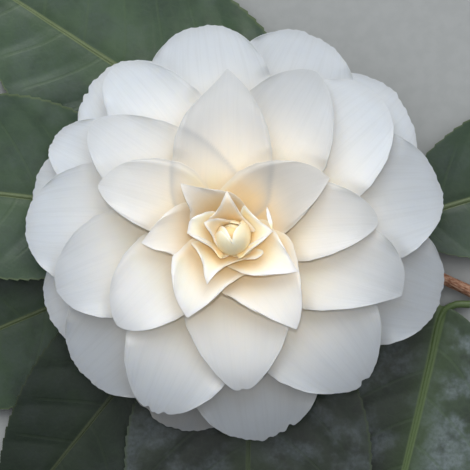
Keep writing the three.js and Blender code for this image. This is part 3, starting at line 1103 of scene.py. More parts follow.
INNER_PETALS = (
    traced(
        7.4,
        (23.3, 13.8),
        (
            (-3.4, 9.4), (-2.4, 11.4), (-0.6, 13.3), (2.6, 15.9), (7.4, 17.6), (13.8, 17.9),
            (19.8, 16.4),
        ),
        ((5.5, -4.0), (9.2, -1.9), (12.3, 0.3), (16.1, 3.9), (19.4, 7.9), (21.9, 11.3)),
        crease=0.3, lip=0.2, shows=(6.2,), tone=0.64,
    ),
    traced(
        7.9,
        (15.4, -22.3),
        (
            (7.2, 1.9), (12.5, 0.5), (14.4, -1.9), (15.6, -6.2), (16.3, -10.6), (16.6, -15.4),
            (16.3, -19.7),
        ),
        ((-3.4, -10.6), (-2.4, -13.4), (0.0, -14.6), (3.4, -16.8), (7.2, -18.7), (11.3, -20.6)),
        crease=0.45, lip=0.5, tone=0.93,
    ),
    traced(
        8.2,
        (-21.6, -1.7),
        ((-4.3, -6.2), (-7.0, -8.4), (-9.1, -7.2), (-12.2, -5.5), (-15.4, -3.8), (-18.7, -3.1)),
        ((-5.8, 5.3), (-10.1, 7.9), (-13.4, 7.0), (-16.6, 4.6), (-19.4, 1.2)),
        crease=0.3, lip=0.6, tone=0.88,
    ),
    traced(
        9.0,
        (-10.6, -19.4),
        ((4.8, -7.7), (1.9, -9.8), (-1.4, -12.0), (-3.8, -14.4), (-6.0, -16.3), (-8.4, -18.0)),
        ((-8.2, 0.0), (-12.5, -3.4), (-14.2, -5.3), (-14.3, -9.4), (-13.7, -13.4), (-12.5, -16.6)),
        crease=0.3, lip=0.6,
    ),
    traced(
        9.0,
        (-12.2, 12.5),
        ((-6.2, 1.0), (-9.8, 3.8), (-9.8, 5.5), (-10.4, 7.2), (-11.2, 9.1), (-11.8, 10.8)),
        ((3.4, 6.2), (1.0, 9.6), (-1.9, 10.7), (-5.3, 11.2), (-8.2, 11.6), (-10.3, 12.1)),
        crease=0.4, lip=0.5, tone=0.68,
    ),
    traced(
        9.3,
        (15.8, -8.4),
        ((4.8, 3.4), (7.9, 3.8), (9.4, 2.2), (10.8, 0.2), (12.5, -2.9), (14.2, -5.8)),
        ((-1.9, -6.2), (1.0, -8.2), (3.8, -9.2), (7.2, -9.4), (10.3, -9.1), (13.4, -8.8)),
        crease=0.4, lip=0.5,
    ),
    traced(
        10.0,
        (-5.9, -11.5),
        ((7.2, -3.4), (6.0, -5.3), (2.9, -5.6), (0.0, -6.5), (-2.9, -7.9), (-4.6, -9.7)),
        ((-7.7, -1.0), (-9.6, -1.7), (-8.4, -3.4), (-7.4, -5.3), (-6.8, -7.2), (-6.6, -9.1)),
        crease=0.3, lip=0.6,
    ),
    traced(
        10.3,
        (9.8, 1.1),
        ((1.9, 5.3), (2.9, 7.2), (4.1, 6.0), (5.5, 4.6), (7.0, 3.2), (8.4, 2.3)),
        ((0.0, -4.3), (1.4, -5.0), (3.8, -4.3), (5.0, -2.9), (6.2, -1.3), (7.9, 0.0)),
        crease=0.3, lip=0.5,
    ),
    traced(
        10.6,
        (-10.7, 0.6),
        ((0.0, -3.8), (-2.2, -5.3), (-3.6, -4.0), (-5.3, -2.4), (-7.2, -1.0), (-8.9, 0.0)),
        ((-3.4, 5.3), (-5.5, 5.8), (-7.4, 5.2), (-9.2, 4.4), (-10.1, 3.4), (-10.4, 1.9)),
        crease=0.3, lip=0.5,
    ),
    traced(
        10.9,
        (-1.2, 10.7),
        ((-5.8, 2.4), (-5.5, 4.1), (-4.2, 5.3), (-3.1, 6.7), (-2.4, 8.2), (-1.8, 9.5)),
        ((5.3, 1.0), (4.8, 2.4), (3.1, 4.1), (1.7, 5.9), (0.5, 7.8), (-0.5, 9.5)),
        crease=0.2, lip=0.4, tone=0.84,
    ),
    traced(
        11.5,
        (-6.7, 3.2),
        ((-2.4, -2.9), (-4.0, -1.6), (-4.6, -0.2), (-5.4, 1.1), (-6.2, 2.2)),
        ((1.0, 3.4), (-0.5, 3.7), (-2.4, 4.1), (-4.1, 4.1), (-5.5, 3.8)),
        crease=0.2, lip=0.4, tone=0.9,
    ),
    rolled_rim(
        10.75,
        (9.5, 0.9),
        ((1.5, -5.2), (1.1, -4.3), (1.5, -3.4), (2.6, -2.7), (4.3, -1.9), (6.2, -0.9), (8.1, 0.1)),
        ((1.8, -5.3), (2.5, -5.0), (3.3, -4.2), (4.5, -3.3), (5.9, -2.3), (7.4, -1.1), (8.5, 0.0)),
    ),
    rolled_rim(
        11.1,
        (-10.3, 0.4),
        ((-2.5, -5.3), (-3.2, -4.9), (-3.9, -3.8), (-5.1, -2.6), (-6.8, -1.6), (-8.5, -0.6)),
        ((-2.3, -5.2), (-2.1, -4.3), (-2.9, -3.2), (-4.2, -2.0), (-6.0, -1.0), (-8.2, -0.0)),
    ),
    rolled_rim(
        9.6,
        (8.3, 7.0),
        ((9.4, 1.5), (8.8, 2.8), (8.3, 4.5), (8.2, 5.9)),
        ((9.6, 1.5), (9.6, 3.1), (9.2, 4.7), (8.7, 6.0)),
    ),
)


ALL_PETALS = (*OUTER_PETALS, *MIDDLE_PETALS, *INNER_PETALS)


@dataclass(frozen=True)
class Wrap:
    """A small petal still folded round the bud in the heart.

    Attributes:
        radius: its greatest distance from the bud's own axis.
        feet: angles round the bud where its foot begins and ends, in degrees.
        rim: places along its rim as seen from above, from the bud's own axis.
        top: height of the dome that it lies on.
        rise: height of that dome above its widest ring.
        outer: whether it is one of those that close the bud from outside.
    """

    radius: float
    feet: tuple[float, float]
    rim: tuple[tuple[float, float], ...]
    top: float
    rise: float
    outer: bool = False


WRAPS = (
    Wrap(
        radius=4.25,
        feet=(188, 425),
        rim=(
            (-4.17, -0.95), (-4.22, -0.05), (-3.32, 0.66), (-2.35, 1.09), (-1.66, 0.47),
            (-0.85, -0.52), (-0.05, -1.42), (0.07, -0.47), (0.24, 0.57), (0.9, 1.66),
            (1.71, 2.51), (2.46, 3.27),
        ),
        top=42.7,
        rise=8.5,
        outer=True,
    ),
    Wrap(
        radius=3.8,
        feet=(150, 330),
        rim=(
            (-3.48, 0.83), (-3.01, 1.66), (-2.18, 2.13), (-1.33, 1.56), (-0.71, 0.47),
            (0.09, -0.85), (1.14, -0.47),
        ),
        top=42.2,
        rise=8.2,
        outer=True,
    ),
    Wrap(
        radius=3.55,
        feet=(30, 190),
        rim=((2.68, 2.13), (1.18, 2.8), (-0.52, 3.13), (-2.3, 3.17), (-3.36, 2.37), (-3.51, 1.18)),
        top=41.6,
        rise=8.0,
    ),
    Wrap(
        radius=2.6,
        feet=(20, 200),
        rim=((1.37, 1.54), (0.19, 1.99), (-1.0, 2.08), (-1.82, 1.56), (-2.06, 0.71)),
        top=41.1,
        rise=6.0,
    ),
)


@dataclass
class Bloom:
    """The double flower: four rings of nested petals round a closed bud, on a round seat.

    Attributes:
        thickness: of a petal.
        cup: how far the sides of a petal stand up.
        shoulder: share of the sides where the tip's margin begins.
        curl: how far the open margins turn up besides.
        droop: how far the outermost petals hang at their tips.
        droop_from: distance from the axis where they begin to hang.
        droop_span: how far out from there they hang fully.
        free_gap: distance from a petal above at which a petal opens fully.
        least_grid: fewest faces across and along a petal.
        full_grid: faces across and along a petal of full reach.
        seat_profile: radius and height of the seat's rings.
        core_profile: radius and height of the rings of the core in the bud.
        bud_centre: the bud's own axis, off the flower's.
        foot_tilt: how far down its dome a folded petal starts, in degrees from the top.
        lit_from: how far and to which side the painted shade is looked for, against the way that
            it falls.
    """

    thickness: float = 0.42
    cup: float = 1.4
    shoulder: float = 0.72
    curl: float = 2.0
    droop: float = 3.6
    droop_from: float = 30.0
    droop_span: float = 20.0
    free_gap: float = 3.5
    least_grid: tuple[int, int] = (22, 24)
    full_grid: tuple[int, int] = (40, 44)
    seat_profile: tuple[tuple[float, float], ...] = (
        (6.5, 14.8),
        (11.5, 15.9),
        (13.5, 17.4),
        (13.2, 19.6),
        (11.2, 21.3),
        (8.2, 22.6),
        (4.5, 23.6),
        (2.6, 24.4),
    )
    core_profile: tuple[tuple[float, float], ...] = (
        (2.6, 24.0),
        (3.0, 30.0),
        (3.2, 34.5),
        (2.6, 38.0),
        (1.4, 39.6),
        (0.3, 40.1),
    )
    bud_centre: tuple[float, float] = (0.05, 0.0)
    foot_tilt: float = 112.0
    lit_from: tuple[float, float] = (0.6, 2.2)
    finish: PetalFinish = field(default_factory=PetalFinish)

    def height(self, petal: Petal, distance: np.ndarray) -> np.ndarray:
        """Works out how high a petal is at a distance from the axis.

        Args:
            petal: the petal.
            distance: distances in millimetres.

        Returns:
            Its heights.
        """
        layer = layer_at(petal.layer)
        share = np.maximum(0, (distance - layer.foot) / (petal.reach - layer.foot))
        crest, above_tip = 0.9, 1.03
        climb = above_tip * (1 - (1 - share / crest) ** 2)
        droop = above_tip - 2 * (share - crest) ** 2
        rise = np.where(share < crest, climb, droop)
        swell = np.where(share < 1, np.sin(math.pi * share), -1.5 * (share - 1))
        return layer.seat + (layer.tip - layer.seat) * rise + layer.swell * swell

    def margin(self, petal: Petal, side: Side, share: np.ndarray) -> tuple[np.ndarray, np.ndarray]:
        """Follows one margin of a petal from foot to tip.

        Args:
            petal: the petal.
            side: which margin.
            share: how far along it.

        Returns:
            The distances out along the petal's middle line and aside from it.
        """
        width = petal.left if side is Side.LEFT else petal.right
        point = petal.point_left if side is Side.LEFT else petal.point_right
        widest = petal.widest * petal.reach
        trace = petal.trace_left if side is Side.LEFT else petal.trace_right
        if trace:
            course = curve_through(trace, share.ravel())
            return course[:, 0].reshape(share.shape), course[:, 1].reshape(share.shape)
        foot = float(np.clip(0.12 * petal.reach, 1.5, 4))
        lower = 0.45
        part = np.clip(share / lower, 0, 1)
        low_out = foot + (widest - foot) * part
        rounding = petal.base + (1 - petal.base) * np.sin(math.pi / 2 * part)
        low_aside = side.value * width * rounding
        angle = math.pi / 2 * np.clip((share - lower) / (1 - lower), 0, 1)
        sine = np.sin(angle)
        cosine = np.maximum(0, np.cos(angle))
        high_out = widest + (petal.reach - widest) * sine**point
        high_aside = side.value * width * cosine**point
        is_low = share <= lower
        return np.where(is_low, low_out, high_out), np.where(is_low, low_aside, high_aside)

    def plan(
        self, petal: Petal, across: np.ndarray, along: np.ndarray
    ) -> tuple[np.ndarray, np.ndarray]:
        """Spreads a square over a petal's outline.

        Args:
            petal: the petal.
            across: 0 at its right margin, 1 at its left.
            along: 0 at its foot, 1 at the margin of its tip.

        Returns:
            The distances out and aside.
        """
        shoulder = self.shoulder
        spread = shoulder + (1 - shoulder) * (1 - np.abs(2 * across - 1))
        shares = (shoulder * along, spread, np.zeros_like(along), np.full_like(along, shoulder))
        rights = [self.margin(petal, Side.RIGHT, share) for share in shares]
        lefts = [self.margin(petal, Side.LEFT, share) for share in shares]
        result = []
        for axis in (0, 1):
            right, tip_right, foot_right, end_right = (course[axis] for course in rights)
            left, tip_left, foot_left, end_left = (course[axis] for course in lefts)
            tip = np.where(across > 0.5, tip_left, tip_right)
            foot = foot_right + (foot_left - foot_right) * across
            sides = right + (left - right) * across
            ends = foot + (tip - foot) * along
            corner_low = foot_right * (1 - across) + foot_left * across
            corner_high = end_right * (1 - across) + end_left * across
            result.append(sides + ends - corner_low * (1 - along) - corner_high * along)
        return result[0], result[1]

    def petal_place(self, petal: Petal, across: np.ndarray, along: np.ndarray) -> np.ndarray:
        """Puts the shares across and along onto a petal's surface.

        Args:
            petal: the petal.
            across: 0 at its right margin, 1 at its left.
            along: 0 at its foot, 1 at the margin of its tip.

        Returns:
            One place a row, in millimetres.
        """
        out, aside = self.waved(petal, across, along, *self.plan(petal, across, along))
        width = np.where(aside > 0, petal.left, petal.right)
        height = self.height(petal, np.hypot(out, aside))
        outness = np.clip(out / petal.reach, 0, 1)
        height += self.cup * np.minimum(1, (aside / width) ** 2) * outness
        x, y = swung(out, aside, math.radians(petal.turn))
        free = smooth_step(self.clearance(petal, np.stack((x, y), axis=1)), 0, self.free_gap)
        height += self.relief(petal, across, along, aside / width) * free
        height += 0.35 * np.sin(x * 0.13 + 1) * np.sin(y * 0.15 + 2)
        low_side = 1 - 0.75 * y / FULL_REACH
        beyond = (np.hypot(x, y) - self.droop_from) / self.droop_span
        height -= self.droop * low_side * np.clip(beyond, 0, 1.2) ** 2
        return np.stack((x, y, height), axis=1)

    def phase(self, petal: Petal) -> float:
        """Gives where a petal's waves begin, so that no two petals wave alike."""
        return petal.turn * 0.37 + petal.layer

    def sway(self, petal: Petal, across: np.ndarray) -> np.ndarray:
        """Gives the long waves of a petal's outer margin."""
        phase = self.phase(petal)
        return np.sin(across * 9 + phase) + 0.6 * np.sin(across * 17 + 2 * phase)

    def waved(
        self,
        petal: Petal,
        across: np.ndarray,
        along: np.ndarray,
        out: np.ndarray,
        aside: np.ndarray,
    ) -> tuple[np.ndarray, np.ndarray]:
        """Gives the margins of a petal's plan their waves, ragged edges and nicks.

        Args:
            petal: the petal.
            across: 0 at its right margin, 1 at its left.
            along: 0 at its foot, 1 at the margin of its tip.
            out: distances out in its plan.
            aside: distances aside in its plan.

        Returns:
            The distances out and aside with their waves.
        """
        phase = self.phase(petal)
        fray = np.sin(across * 61 + 3 * phase) * np.sin(across * 23 + phase)
        waves = 0.004 * self.sway(petal, across) + 0.005 * self.fray(petal) * fray
        out = out * (1 + waves * smooth_step(along, 0.7, 1) * np.sin(math.pi * across))
        ripple = np.sin(along * 37 + phase) + 0.7 * np.sin(along * 71 + 2 * phase)
        side = np.abs(2 * across - 1)
        aside = aside * (1 + 0.006 * ripple * side**6 * smooth_step(along, 0.3, 0.6))
        for nick in petal.nicks:
            bite = np.exp(-(((across - nick.across) / nick.width) ** 2))
            out = out * (1 - nick.depth * bite * smooth_step(along, 0.86, 1))
        return out, aside

    def relief(
        self, petal: Petal, across: np.ndarray, along: np.ndarray, spread: np.ndarray
    ) -> np.ndarray:
        """Works out the curling, waves and crease that a petal has where it lies open.

        Args:
            petal: the petal.
            across: 0 at its right margin, 1 at its left.
            along: 0 at its foot, 1 at the margin of its tip.
            spread: distances aside as shares of its half width.

        Returns:
            Heights in millimetres to add to its own.
        """
        size = petal.reach / FULL_REACH
        phase = self.phase(petal)
        side = np.abs(2 * across - 1)
        bowl = 0.35 * side**2 + 0.65 * side**4
        bowl = np.maximum(bowl, 0.4 * np.clip(2 * along - 1, 0, 1) ** 4)
        fold = np.maximum(0, 1 - np.abs(spread) / 0.55)
        wave = np.sin(along * 7 + phase) * np.sin(across * 6 + phase)
        relief = (self.curl * size + petal.lip) * bowl * smooth_step(along, 0.2, 0.6)
        roll = float(np.interp(petal.layer, (5, 8), (0.15, 0.75)))
        relief -= roll * smooth_step(side, 0.82, 1) * smooth_step(along, 0.25, 0.5)
        relief += 0.3 * size * wave * side
        relief += 0.12 * self.sway(petal, across) * side * size
        relief -= petal.crease * size * fold * smooth_step(along, 0.15, 0.55)
        return relief

    def fray(self, petal: Petal) -> float:
        """Gives how ragged a petal's margin is: the outer ones most."""
        return float(np.interp(petal.layer, (0, 3.5, 6), (1.0, 0.5, 0.0)))

    def petal(self, name: str, petal: Petal) -> Piece:
        """Models one petal, closed and with its thickness.

        Args:
            name: the name of the mesh.
            petal: the petal.

        Returns:
            The petal.
        """
        size = petal.reach / FULL_REACH
        fine = 1.7 if petal.shows else 1.4 if petal.nicks else 1.0
        columns, rows = (
            round(max(least, full * math.sqrt(size)) * fine)
            for least, full in zip(self.least_grid, self.full_grid)
        )
        notes: dict[str, np.ndarray] = {}
        body: list[np.ndarray] = []

        def place(across: np.ndarray, along: np.ndarray) -> np.ndarray:
            """Lays the grid and keeps what the finish reads and how thick each vertex is.

            Args:
                across: share of the way across.
                along: share of the way from the foot.

            Returns:
                One place a row.
            """
            laid = self.petal_place(petal, across, along)
            inner = np.minimum(1 - np.abs(2 * across - 1), 1 - along)
            notes.update(self.petal_marks(petal, along, inner, laid[:, :2]))
            body.append(0.22 + 0.78 * smooth_step(inner, 0, 0.16))
            return laid

        piece = sheet(name, columns, rows, place)
        mark(piece, **notes)
        thicken(piece, self.thickness * (0.6 + 0.4 * size), Face.MIDDLE, body[0])
        return piece

    def petal_marks(
        self, petal: Petal, along: np.ndarray, inner: np.ndarray, spots: np.ndarray
    ) -> dict[str, np.ndarray]:
        """Works out what the finish reads in each vertex of a petal.

        Args:
            petal: the petal.
            along: 0 at its foot, 1 at the margin of its tip.
            inner: how far each vertex is from the margins, as a share.
            spots: the places as seen from above, in millimetres.

        Returns:
            The numbers by the name of their attribute.
        """
        slim = min(1.0, (petal.left + petal.right) / 10)
        small = min(1.0, petal.reach / 24)
        lit = spots + small * np.array(self.lit_from)
        start = float(np.interp(petal.layer, (7, 9), (0.4, 0.05)))
        _, away = self.against(petal, spots)
        inward = float(np.interp(petal.layer, (6.5, 9), (0, 1)))
        rim = 1 - smooth_step(away, 0.15, 0.3 + 0.055 * petal.reach)
        # painted shade along the thin rims of the outer and middle petals
        thin = float(np.interp(petal.layer, (0, 6, 8), (0.22, 0.42, 0.0)))
        thin_rim_shade = thin * (1 - smooth_step(inner * petal.reach * 0.3, 0.0, 1.4))
        return {
            "out_share": along.copy(),
            # painted shade beside the margin of a petal above, falling away from the light
            "near": slim * np.exp(-self.clearance(petal, lit) / (2.0 * small)),
            # painted highlight along the margins of the inner petals
            "pale": inward * rim * smooth_step(along, 0.15, 0.4),
            # painted shade that darkens a petal beyond its foot
            "tone": 1 - (1 - petal.tone) * smooth_step(along, start, start + 0.4),
            "behind": np.maximum(self.seen_through(petal, spots), thin_rim_shade),
        }

    def outline(self, petal: Petal) -> np.ndarray:
        """Gives the closed outline of a petal as seen from above, from its left foot round.

        Args:
            petal: the petal.

        Returns:
            One point a row.
        """
        shares = np.linspace(0, 1, 34)
        left = np.stack(self.margin(petal, Side.LEFT, shares), axis=1)
        right = np.stack(self.margin(petal, Side.RIGHT, shares), axis=1)
        ring = np.concatenate((left, right[::-1]))
        return np.stack(swung(ring[:, 0], ring[:, 1], math.radians(petal.turn)), axis=1)

    def against(self, other: Petal, places: np.ndarray) -> tuple[np.ndarray, np.ndarray]:
        """Sets points against the outline of a petal.

        Args:
            other: the petal.
            places: points as seen from above, in millimetres.

        Returns:
            For each point whether it lies within, and its distance from the outline up to FAR.
        """
        ring = self.outline(other)
        low, high = ring.min(axis=0) - FAR, ring.max(axis=0) + FAR
        near = ((places > low) & (places < high)).all(axis=1)
        within = np.zeros(len(places), dtype=bool)
        away = np.full(len(places), FAR)
        if not near.any():
            return within, away
        spots = places[near][:, None, :]
        ahead = np.roll(ring, -1, axis=0) - ring
        size = np.maximum(1e-9, (ahead**2).sum(axis=1))
        offset = spots - ring[None]
        part = np.clip((offset * ahead[None]).sum(axis=2) / size, 0, 1)
        gaps = np.linalg.norm(offset - part[..., None] * ahead[None], axis=2).min(axis=1)
        ends = ring + ahead
        crosses = (ring[None, :, 1] > spots[..., 1]) != (ends[None, :, 1] > spots[..., 1])
        rise = np.where(np.abs(ahead[:, 1]) < 1e-9, 1e-9, ahead[:, 1])
        meet = ring[None, :, 0] + (spots[..., 1] - ring[None, :, 1]) * (ahead[:, 0] / rise)[None]
        within[near] = (crosses & (spots[..., 0] < meet)).sum(axis=1) % 2 == 1
        away[near] = np.minimum(FAR, gaps)
        return within, away

    def clearance(self, petal: Petal, places: np.ndarray) -> np.ndarray:
        """Gives the distance to the nearest petal above, 0 under it, seen from above.

        Args:
            petal: the petal below.
            places: points as seen from above, in millimetres.

        Returns:
            The distances, up to FAR.
        """
        clear = np.full(len(places), FAR)
        for other in ALL_PETALS:
            if other.layer > petal.layer:
                within, away = self.against(other, places)
                clear = np.minimum(clear, np.where(within, 0, away))
        return clear

    def seen_through(self, petal: Petal, places: np.ndarray) -> np.ndarray:
        """Works out the painted shade where the rims of the petals close behind show softly
        through.

        Args:
            petal: the petal in front.
            places: points of it as seen from above, in millimetres.

        Returns:
            For each point 0 for nothing up to 1 for a rim right behind it.
        """
        shade = np.zeros(len(places))
        for other in ALL_PETALS:
            if other.layer in petal.shows:
                within, away = self.against(other, places)
                band = np.where(within, np.exp(-away / 1.3), np.exp(-((away / 0.5) ** 2)))
                shade = np.maximum(shade, 0.7 * band)
        return shade

    def wrap_place(self, wrap: Wrap, across: np.ndarray, along: np.ndarray) -> np.ndarray:
        """Puts the shares across and along onto a petal folded round the bud.

        Args:
            wrap: the petal.
            across: share of the way across.
            along: share of the way from the foot.

        Returns:
            One place a row, in millimetres.
        """
        rim = curve_through(wrap.rim, across)
        tilt = np.degrees(np.arcsin(np.minimum(1, np.hypot(rim[:, 0], rim[:, 1]) / wrap.radius)))
        around = np.arctan2(rim[:, 1], rim[:, 0])
        rim = np.stack((tilt * np.cos(around), tilt * np.sin(around)), axis=1)
        angle = np.radians(wrap.feet[0] + (wrap.feet[1] - wrap.feet[0]) * across)
        foot = self.foot_tilt * np.stack((np.cos(angle), np.sin(angle)), axis=1)
        spot = foot + (rim - foot) * along[:, None]
        tilt = np.radians(np.hypot(spot[:, 0], spot[:, 1]))
        around = np.arctan2(spot[:, 1], spot[:, 0])
        radius = wrap.radius * np.sin(tilt)
        x = self.bud_centre[0] + radius * np.cos(around)
        y = self.bud_centre[1] + radius * np.sin(around)
        height = wrap.top - wrap.rise * (1 - np.cos(tilt))
        return np.stack((x, y, height), axis=1)

    def wrapped(self, name: str, wrap: Wrap) -> Piece:
        """Models one petal folded round the bud.

        Args:
            name: the name of the mesh.
            wrap: the petal.

        Returns:
            The petal.
        """
        shares: list[np.ndarray] = []

        def place(across: np.ndarray, along: np.ndarray) -> np.ndarray:
            """Lays the grid and keeps how far up each vertex is.

            Args:
                across: share of the way across.
                along: share of the way from the foot.

            Returns:
                One place a row.
            """
            shares.append(along.copy())
            return self.wrap_place(wrap, across, along)

        piece = sheet(name, columns=72, rows=24, place=place)
        along = shares[0]
        # painted shade towards the feet of the folded petals, and a painted highlight on their
        # rims
        if wrap.outer:
            mark(piece, out_share=0.5 + 0.2 * along, near=0.25 * (1 - along) ** 2)
            mark(piece, pale=0.7 * smooth_step(along, 0.88, 1))
        else:
            mark(piece, out_share=0.3 * along, near=1 - along**4)
            mark(piece, pale=0.4 * smooth_step(along, 0.9, 1))
        mark(piece, behind=0.0, tone=1.0)
        thicken(piece, self.thickness, Face.BELOW)
        return piece

    def ring(self, name: str, petals: Sequence[Petal]) -> Piece:
        """Models the petals of one ring as one piece."""
        pieces = [self.petal(f"{name}_{number}", petal) for number, petal in enumerate(petals)]
        return joined(name, pieces)

    def build(self) -> list[Piece]:
        """Models and dresses the whole flower.

        Returns:
            Its pieces, the outermost first.
        """
        heart = [self.wrapped(f"heart_{number}", wrap) for number, wrap in enumerate(WRAPS)]
        seat = turned("petal_seat", self.seat_profile, sides=64)
        core = turned("bud_core", self.core_profile, sides=32)
        for piece in (seat, core):
            # the seat and the bud's core lie wholly in painted shade
            mark(piece, out_share=0.2, near=1.0, pale=0.0, behind=0.0, tone=1.0)
        pieces = [
            self.ring("outer_petals", OUTER_PETALS),
            self.ring("middle_petals", MIDDLE_PETALS),
            self.ring("inner_petals", INNER_PETALS),
            joined("heart_petals", [*heart, core]),
            seat,
        ]
        material = self.finish.make()
        for piece in pieces:
            paint(piece, material)
            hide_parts("bloom")
            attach(piece, "root")
        return pieces


@dataclass
class BudScales:
    """The green cup and the scales that held the bud, under the petals.

    Attributes:
        count: number of scales.
        reach: distance of their tips from the axis.
        half_width: half of a scale's width.
        lift: how far they rise from foot to tip.
        cup_profile: radius and height of the cup's rings.
        foot_height: height of their feet.
        thickness: of a scale.
    """

    count: int = 6
    reach: float = 10.5
    half_width: float = 5.6
    lift: float = 4.2
    cup_profile: tuple[tuple[float, float], ...] = (
        (2.4, 8.6),
        (4.4, 9.4),
        (5.8, 11.0),
        (6.5, 12.8),
        (6.5, 14.2),
    )
    foot_height: float = 9.5
    thickness: float = 0.7
    finish: GreenFinish = GreenFinish("bud_scale_green", (0.20, 0.23, 0.075), (0.36, 0.33, 0.15))

    def scale(self, index: int) -> Piece:
        """Models one scale as a small spoon.

        Args:
            index: its number round the cup.

        Returns:
            The scale.
        """
        turn = 2 * math.pi * index / self.count + 0.4
        drop = 0.7 * (index % 2)

        def place(across: np.ndarray, along: np.ndarray) -> np.ndarray:
            """Lays the grid over the scale.

            Args:
                across: share of the way across.
                along: share of the way from the foot.

            Returns:
                One place a row.
            """
            side = 2 * across - 1
            out = self.reach * (0.18 + 0.80 * along)
            width = self.half_width * np.sqrt(np.maximum(0, 1 - (along * 1.02 - 0.45) ** 2 / 0.36))
            width = np.maximum(width, 0.25)
            aside = side * width
            out = out - 0.9 * side**2 * along
            rise = self.foot_height + self.lift * along**1.4 - drop + 0.5 * side**2
            return np.stack((*swung(out, aside, turn), rise), axis=1)

        piece = sheet(f"scale_{index}", columns=18, rows=18, place=place)
        thicken(piece, self.thickness, Face.MIDDLE)
        return piece

    def build(self) -> list[Piece]:
        """Models and dresses the cup with its scales.

        Returns:
            The one piece.
        """
        cup = turned("scale_cup", self.cup_profile, sides=48)
        piece = joined("bud_scale_cup", [cup, *(self.scale(index) for index in range(self.count))])
        paint(piece, self.finish.make())
        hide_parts("bud_scales")
        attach(piece, "root")
        return [piece]


@dataclass
class FlowerStalk:
    """The short stalk that carries the flower on the twig.

    Attributes:
        profile: radius and height of its rings.
    """

    profile: tuple[tuple[float, float], ...] = (
        (1.28, 6.0),
        (1.42, 6.5),
        (1.55, 7.0),
        (1.72, 7.5),
        (1.88, 8.0),
        (2.0, 8.3),
    )
    finish: GreenFinish = GreenFinish("stalk_green", (0.20, 0.26, 0.07), (0.33, 0.33, 0.13))

    def build(self) -> list[Piece]:
        """Models and dresses the stalk.

        Returns:
            The one piece.
        """
        piece = turned("short_stalk", self.profile, sides=40)
        paint(piece, self.finish.make())
        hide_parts("flower_stalk")
        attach(piece, "root")
        return [piece]


@dataclass
class Twig:
    """The woody twig, cut at its right end, with the swellings where leaves and flower sit.

    Attributes:
        path: points along its middle line, from the cut end.
        thick: radius at the cut end.
        thin: radius at the far end.
        joints: shares of its length where it swells.
        swelling: how much it swells there.
        wrinkles: of each set of wrinkles, how many there are round it, how fast they wind, and
            how high they are as a share of its radius.
        grid: faces round it and along it.
    """

    path: tuple[tuple[float, float, float], ...] = (
        (71.5, -19.7, 1.75),
        (62, -15.4, 2),
        (50.2, -10, 2.6),
        (39, -6, 3.2),
        (26.6, -2.8, 3.9),
        (14, -0.8, 4.2),
        (0, 0, 4.3),
        (-14, 1.6, 4.2),
    )
    thick: float = 1.7
    thin: float = 1.0
    joints: tuple[float, ...] = (0.11, 0.4, 0.59, 0.7, 0.83, 0.95)
    swelling: float = 0.35
    wrinkles: tuple[tuple[int, int, float], ...] = (
        (3, 31, 0.035),
        (7, 67, 0.025),
        (11, 19, 0.02),
        (5, 143, 0.015),
    )
    grid: tuple[int, int] = (40, 420)
    finish: BarkFinish = field(default_factory=BarkFinish)

    def build(self) -> list[Piece]:
        """Models and dresses the twig with the relief of its bark.

        Returns:
            The one piece.
        """
        sides, rows = self.grid
        shares = np.linspace(0, 1, rows + 1)
        radius = self.thick + (self.thin - self.thick) * shares**0.8
        for joint in self.joints:
            bump = np.exp(-(((shares - joint) / 0.028) ** 2))
            radius = radius + self.swelling * bump * np.minimum(1, shares * 9)
        end = np.sqrt(np.clip((1 - shares) * 60, 0, 1))
        cut = np.clip(0.35 + shares * 500, 0, 1)
        radius = radius * np.maximum(0.04, end) * cut
        angles = np.linspace(0, 2 * math.pi, sides + 1)
        wrinkle = np.zeros((rows + 1, sides + 1))
        bend = 3 * np.sin(shares * 23)[:, None]
        for turns, pull, size in self.wrinkles:
            wrinkle += size * np.sin(turns * angles[None, :] + pull * shares[:, None] + bend)
        ring = 0.03 * np.maximum(0, np.sin(shares * 260 + np.sin(shares * 40) * 2)) ** 6
        radii = radius[:, None] * (0.9 + wrinkle + ring[:, None]) - 0.02
        radii = np.maximum(radii, 0.02)
        piece = tube("bark_twig", sides, rows, curve_through(self.path, shares), radii)
        paint(piece, self.finish.make())
        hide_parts("twig")
        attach(piece, "root")
        return [piece]


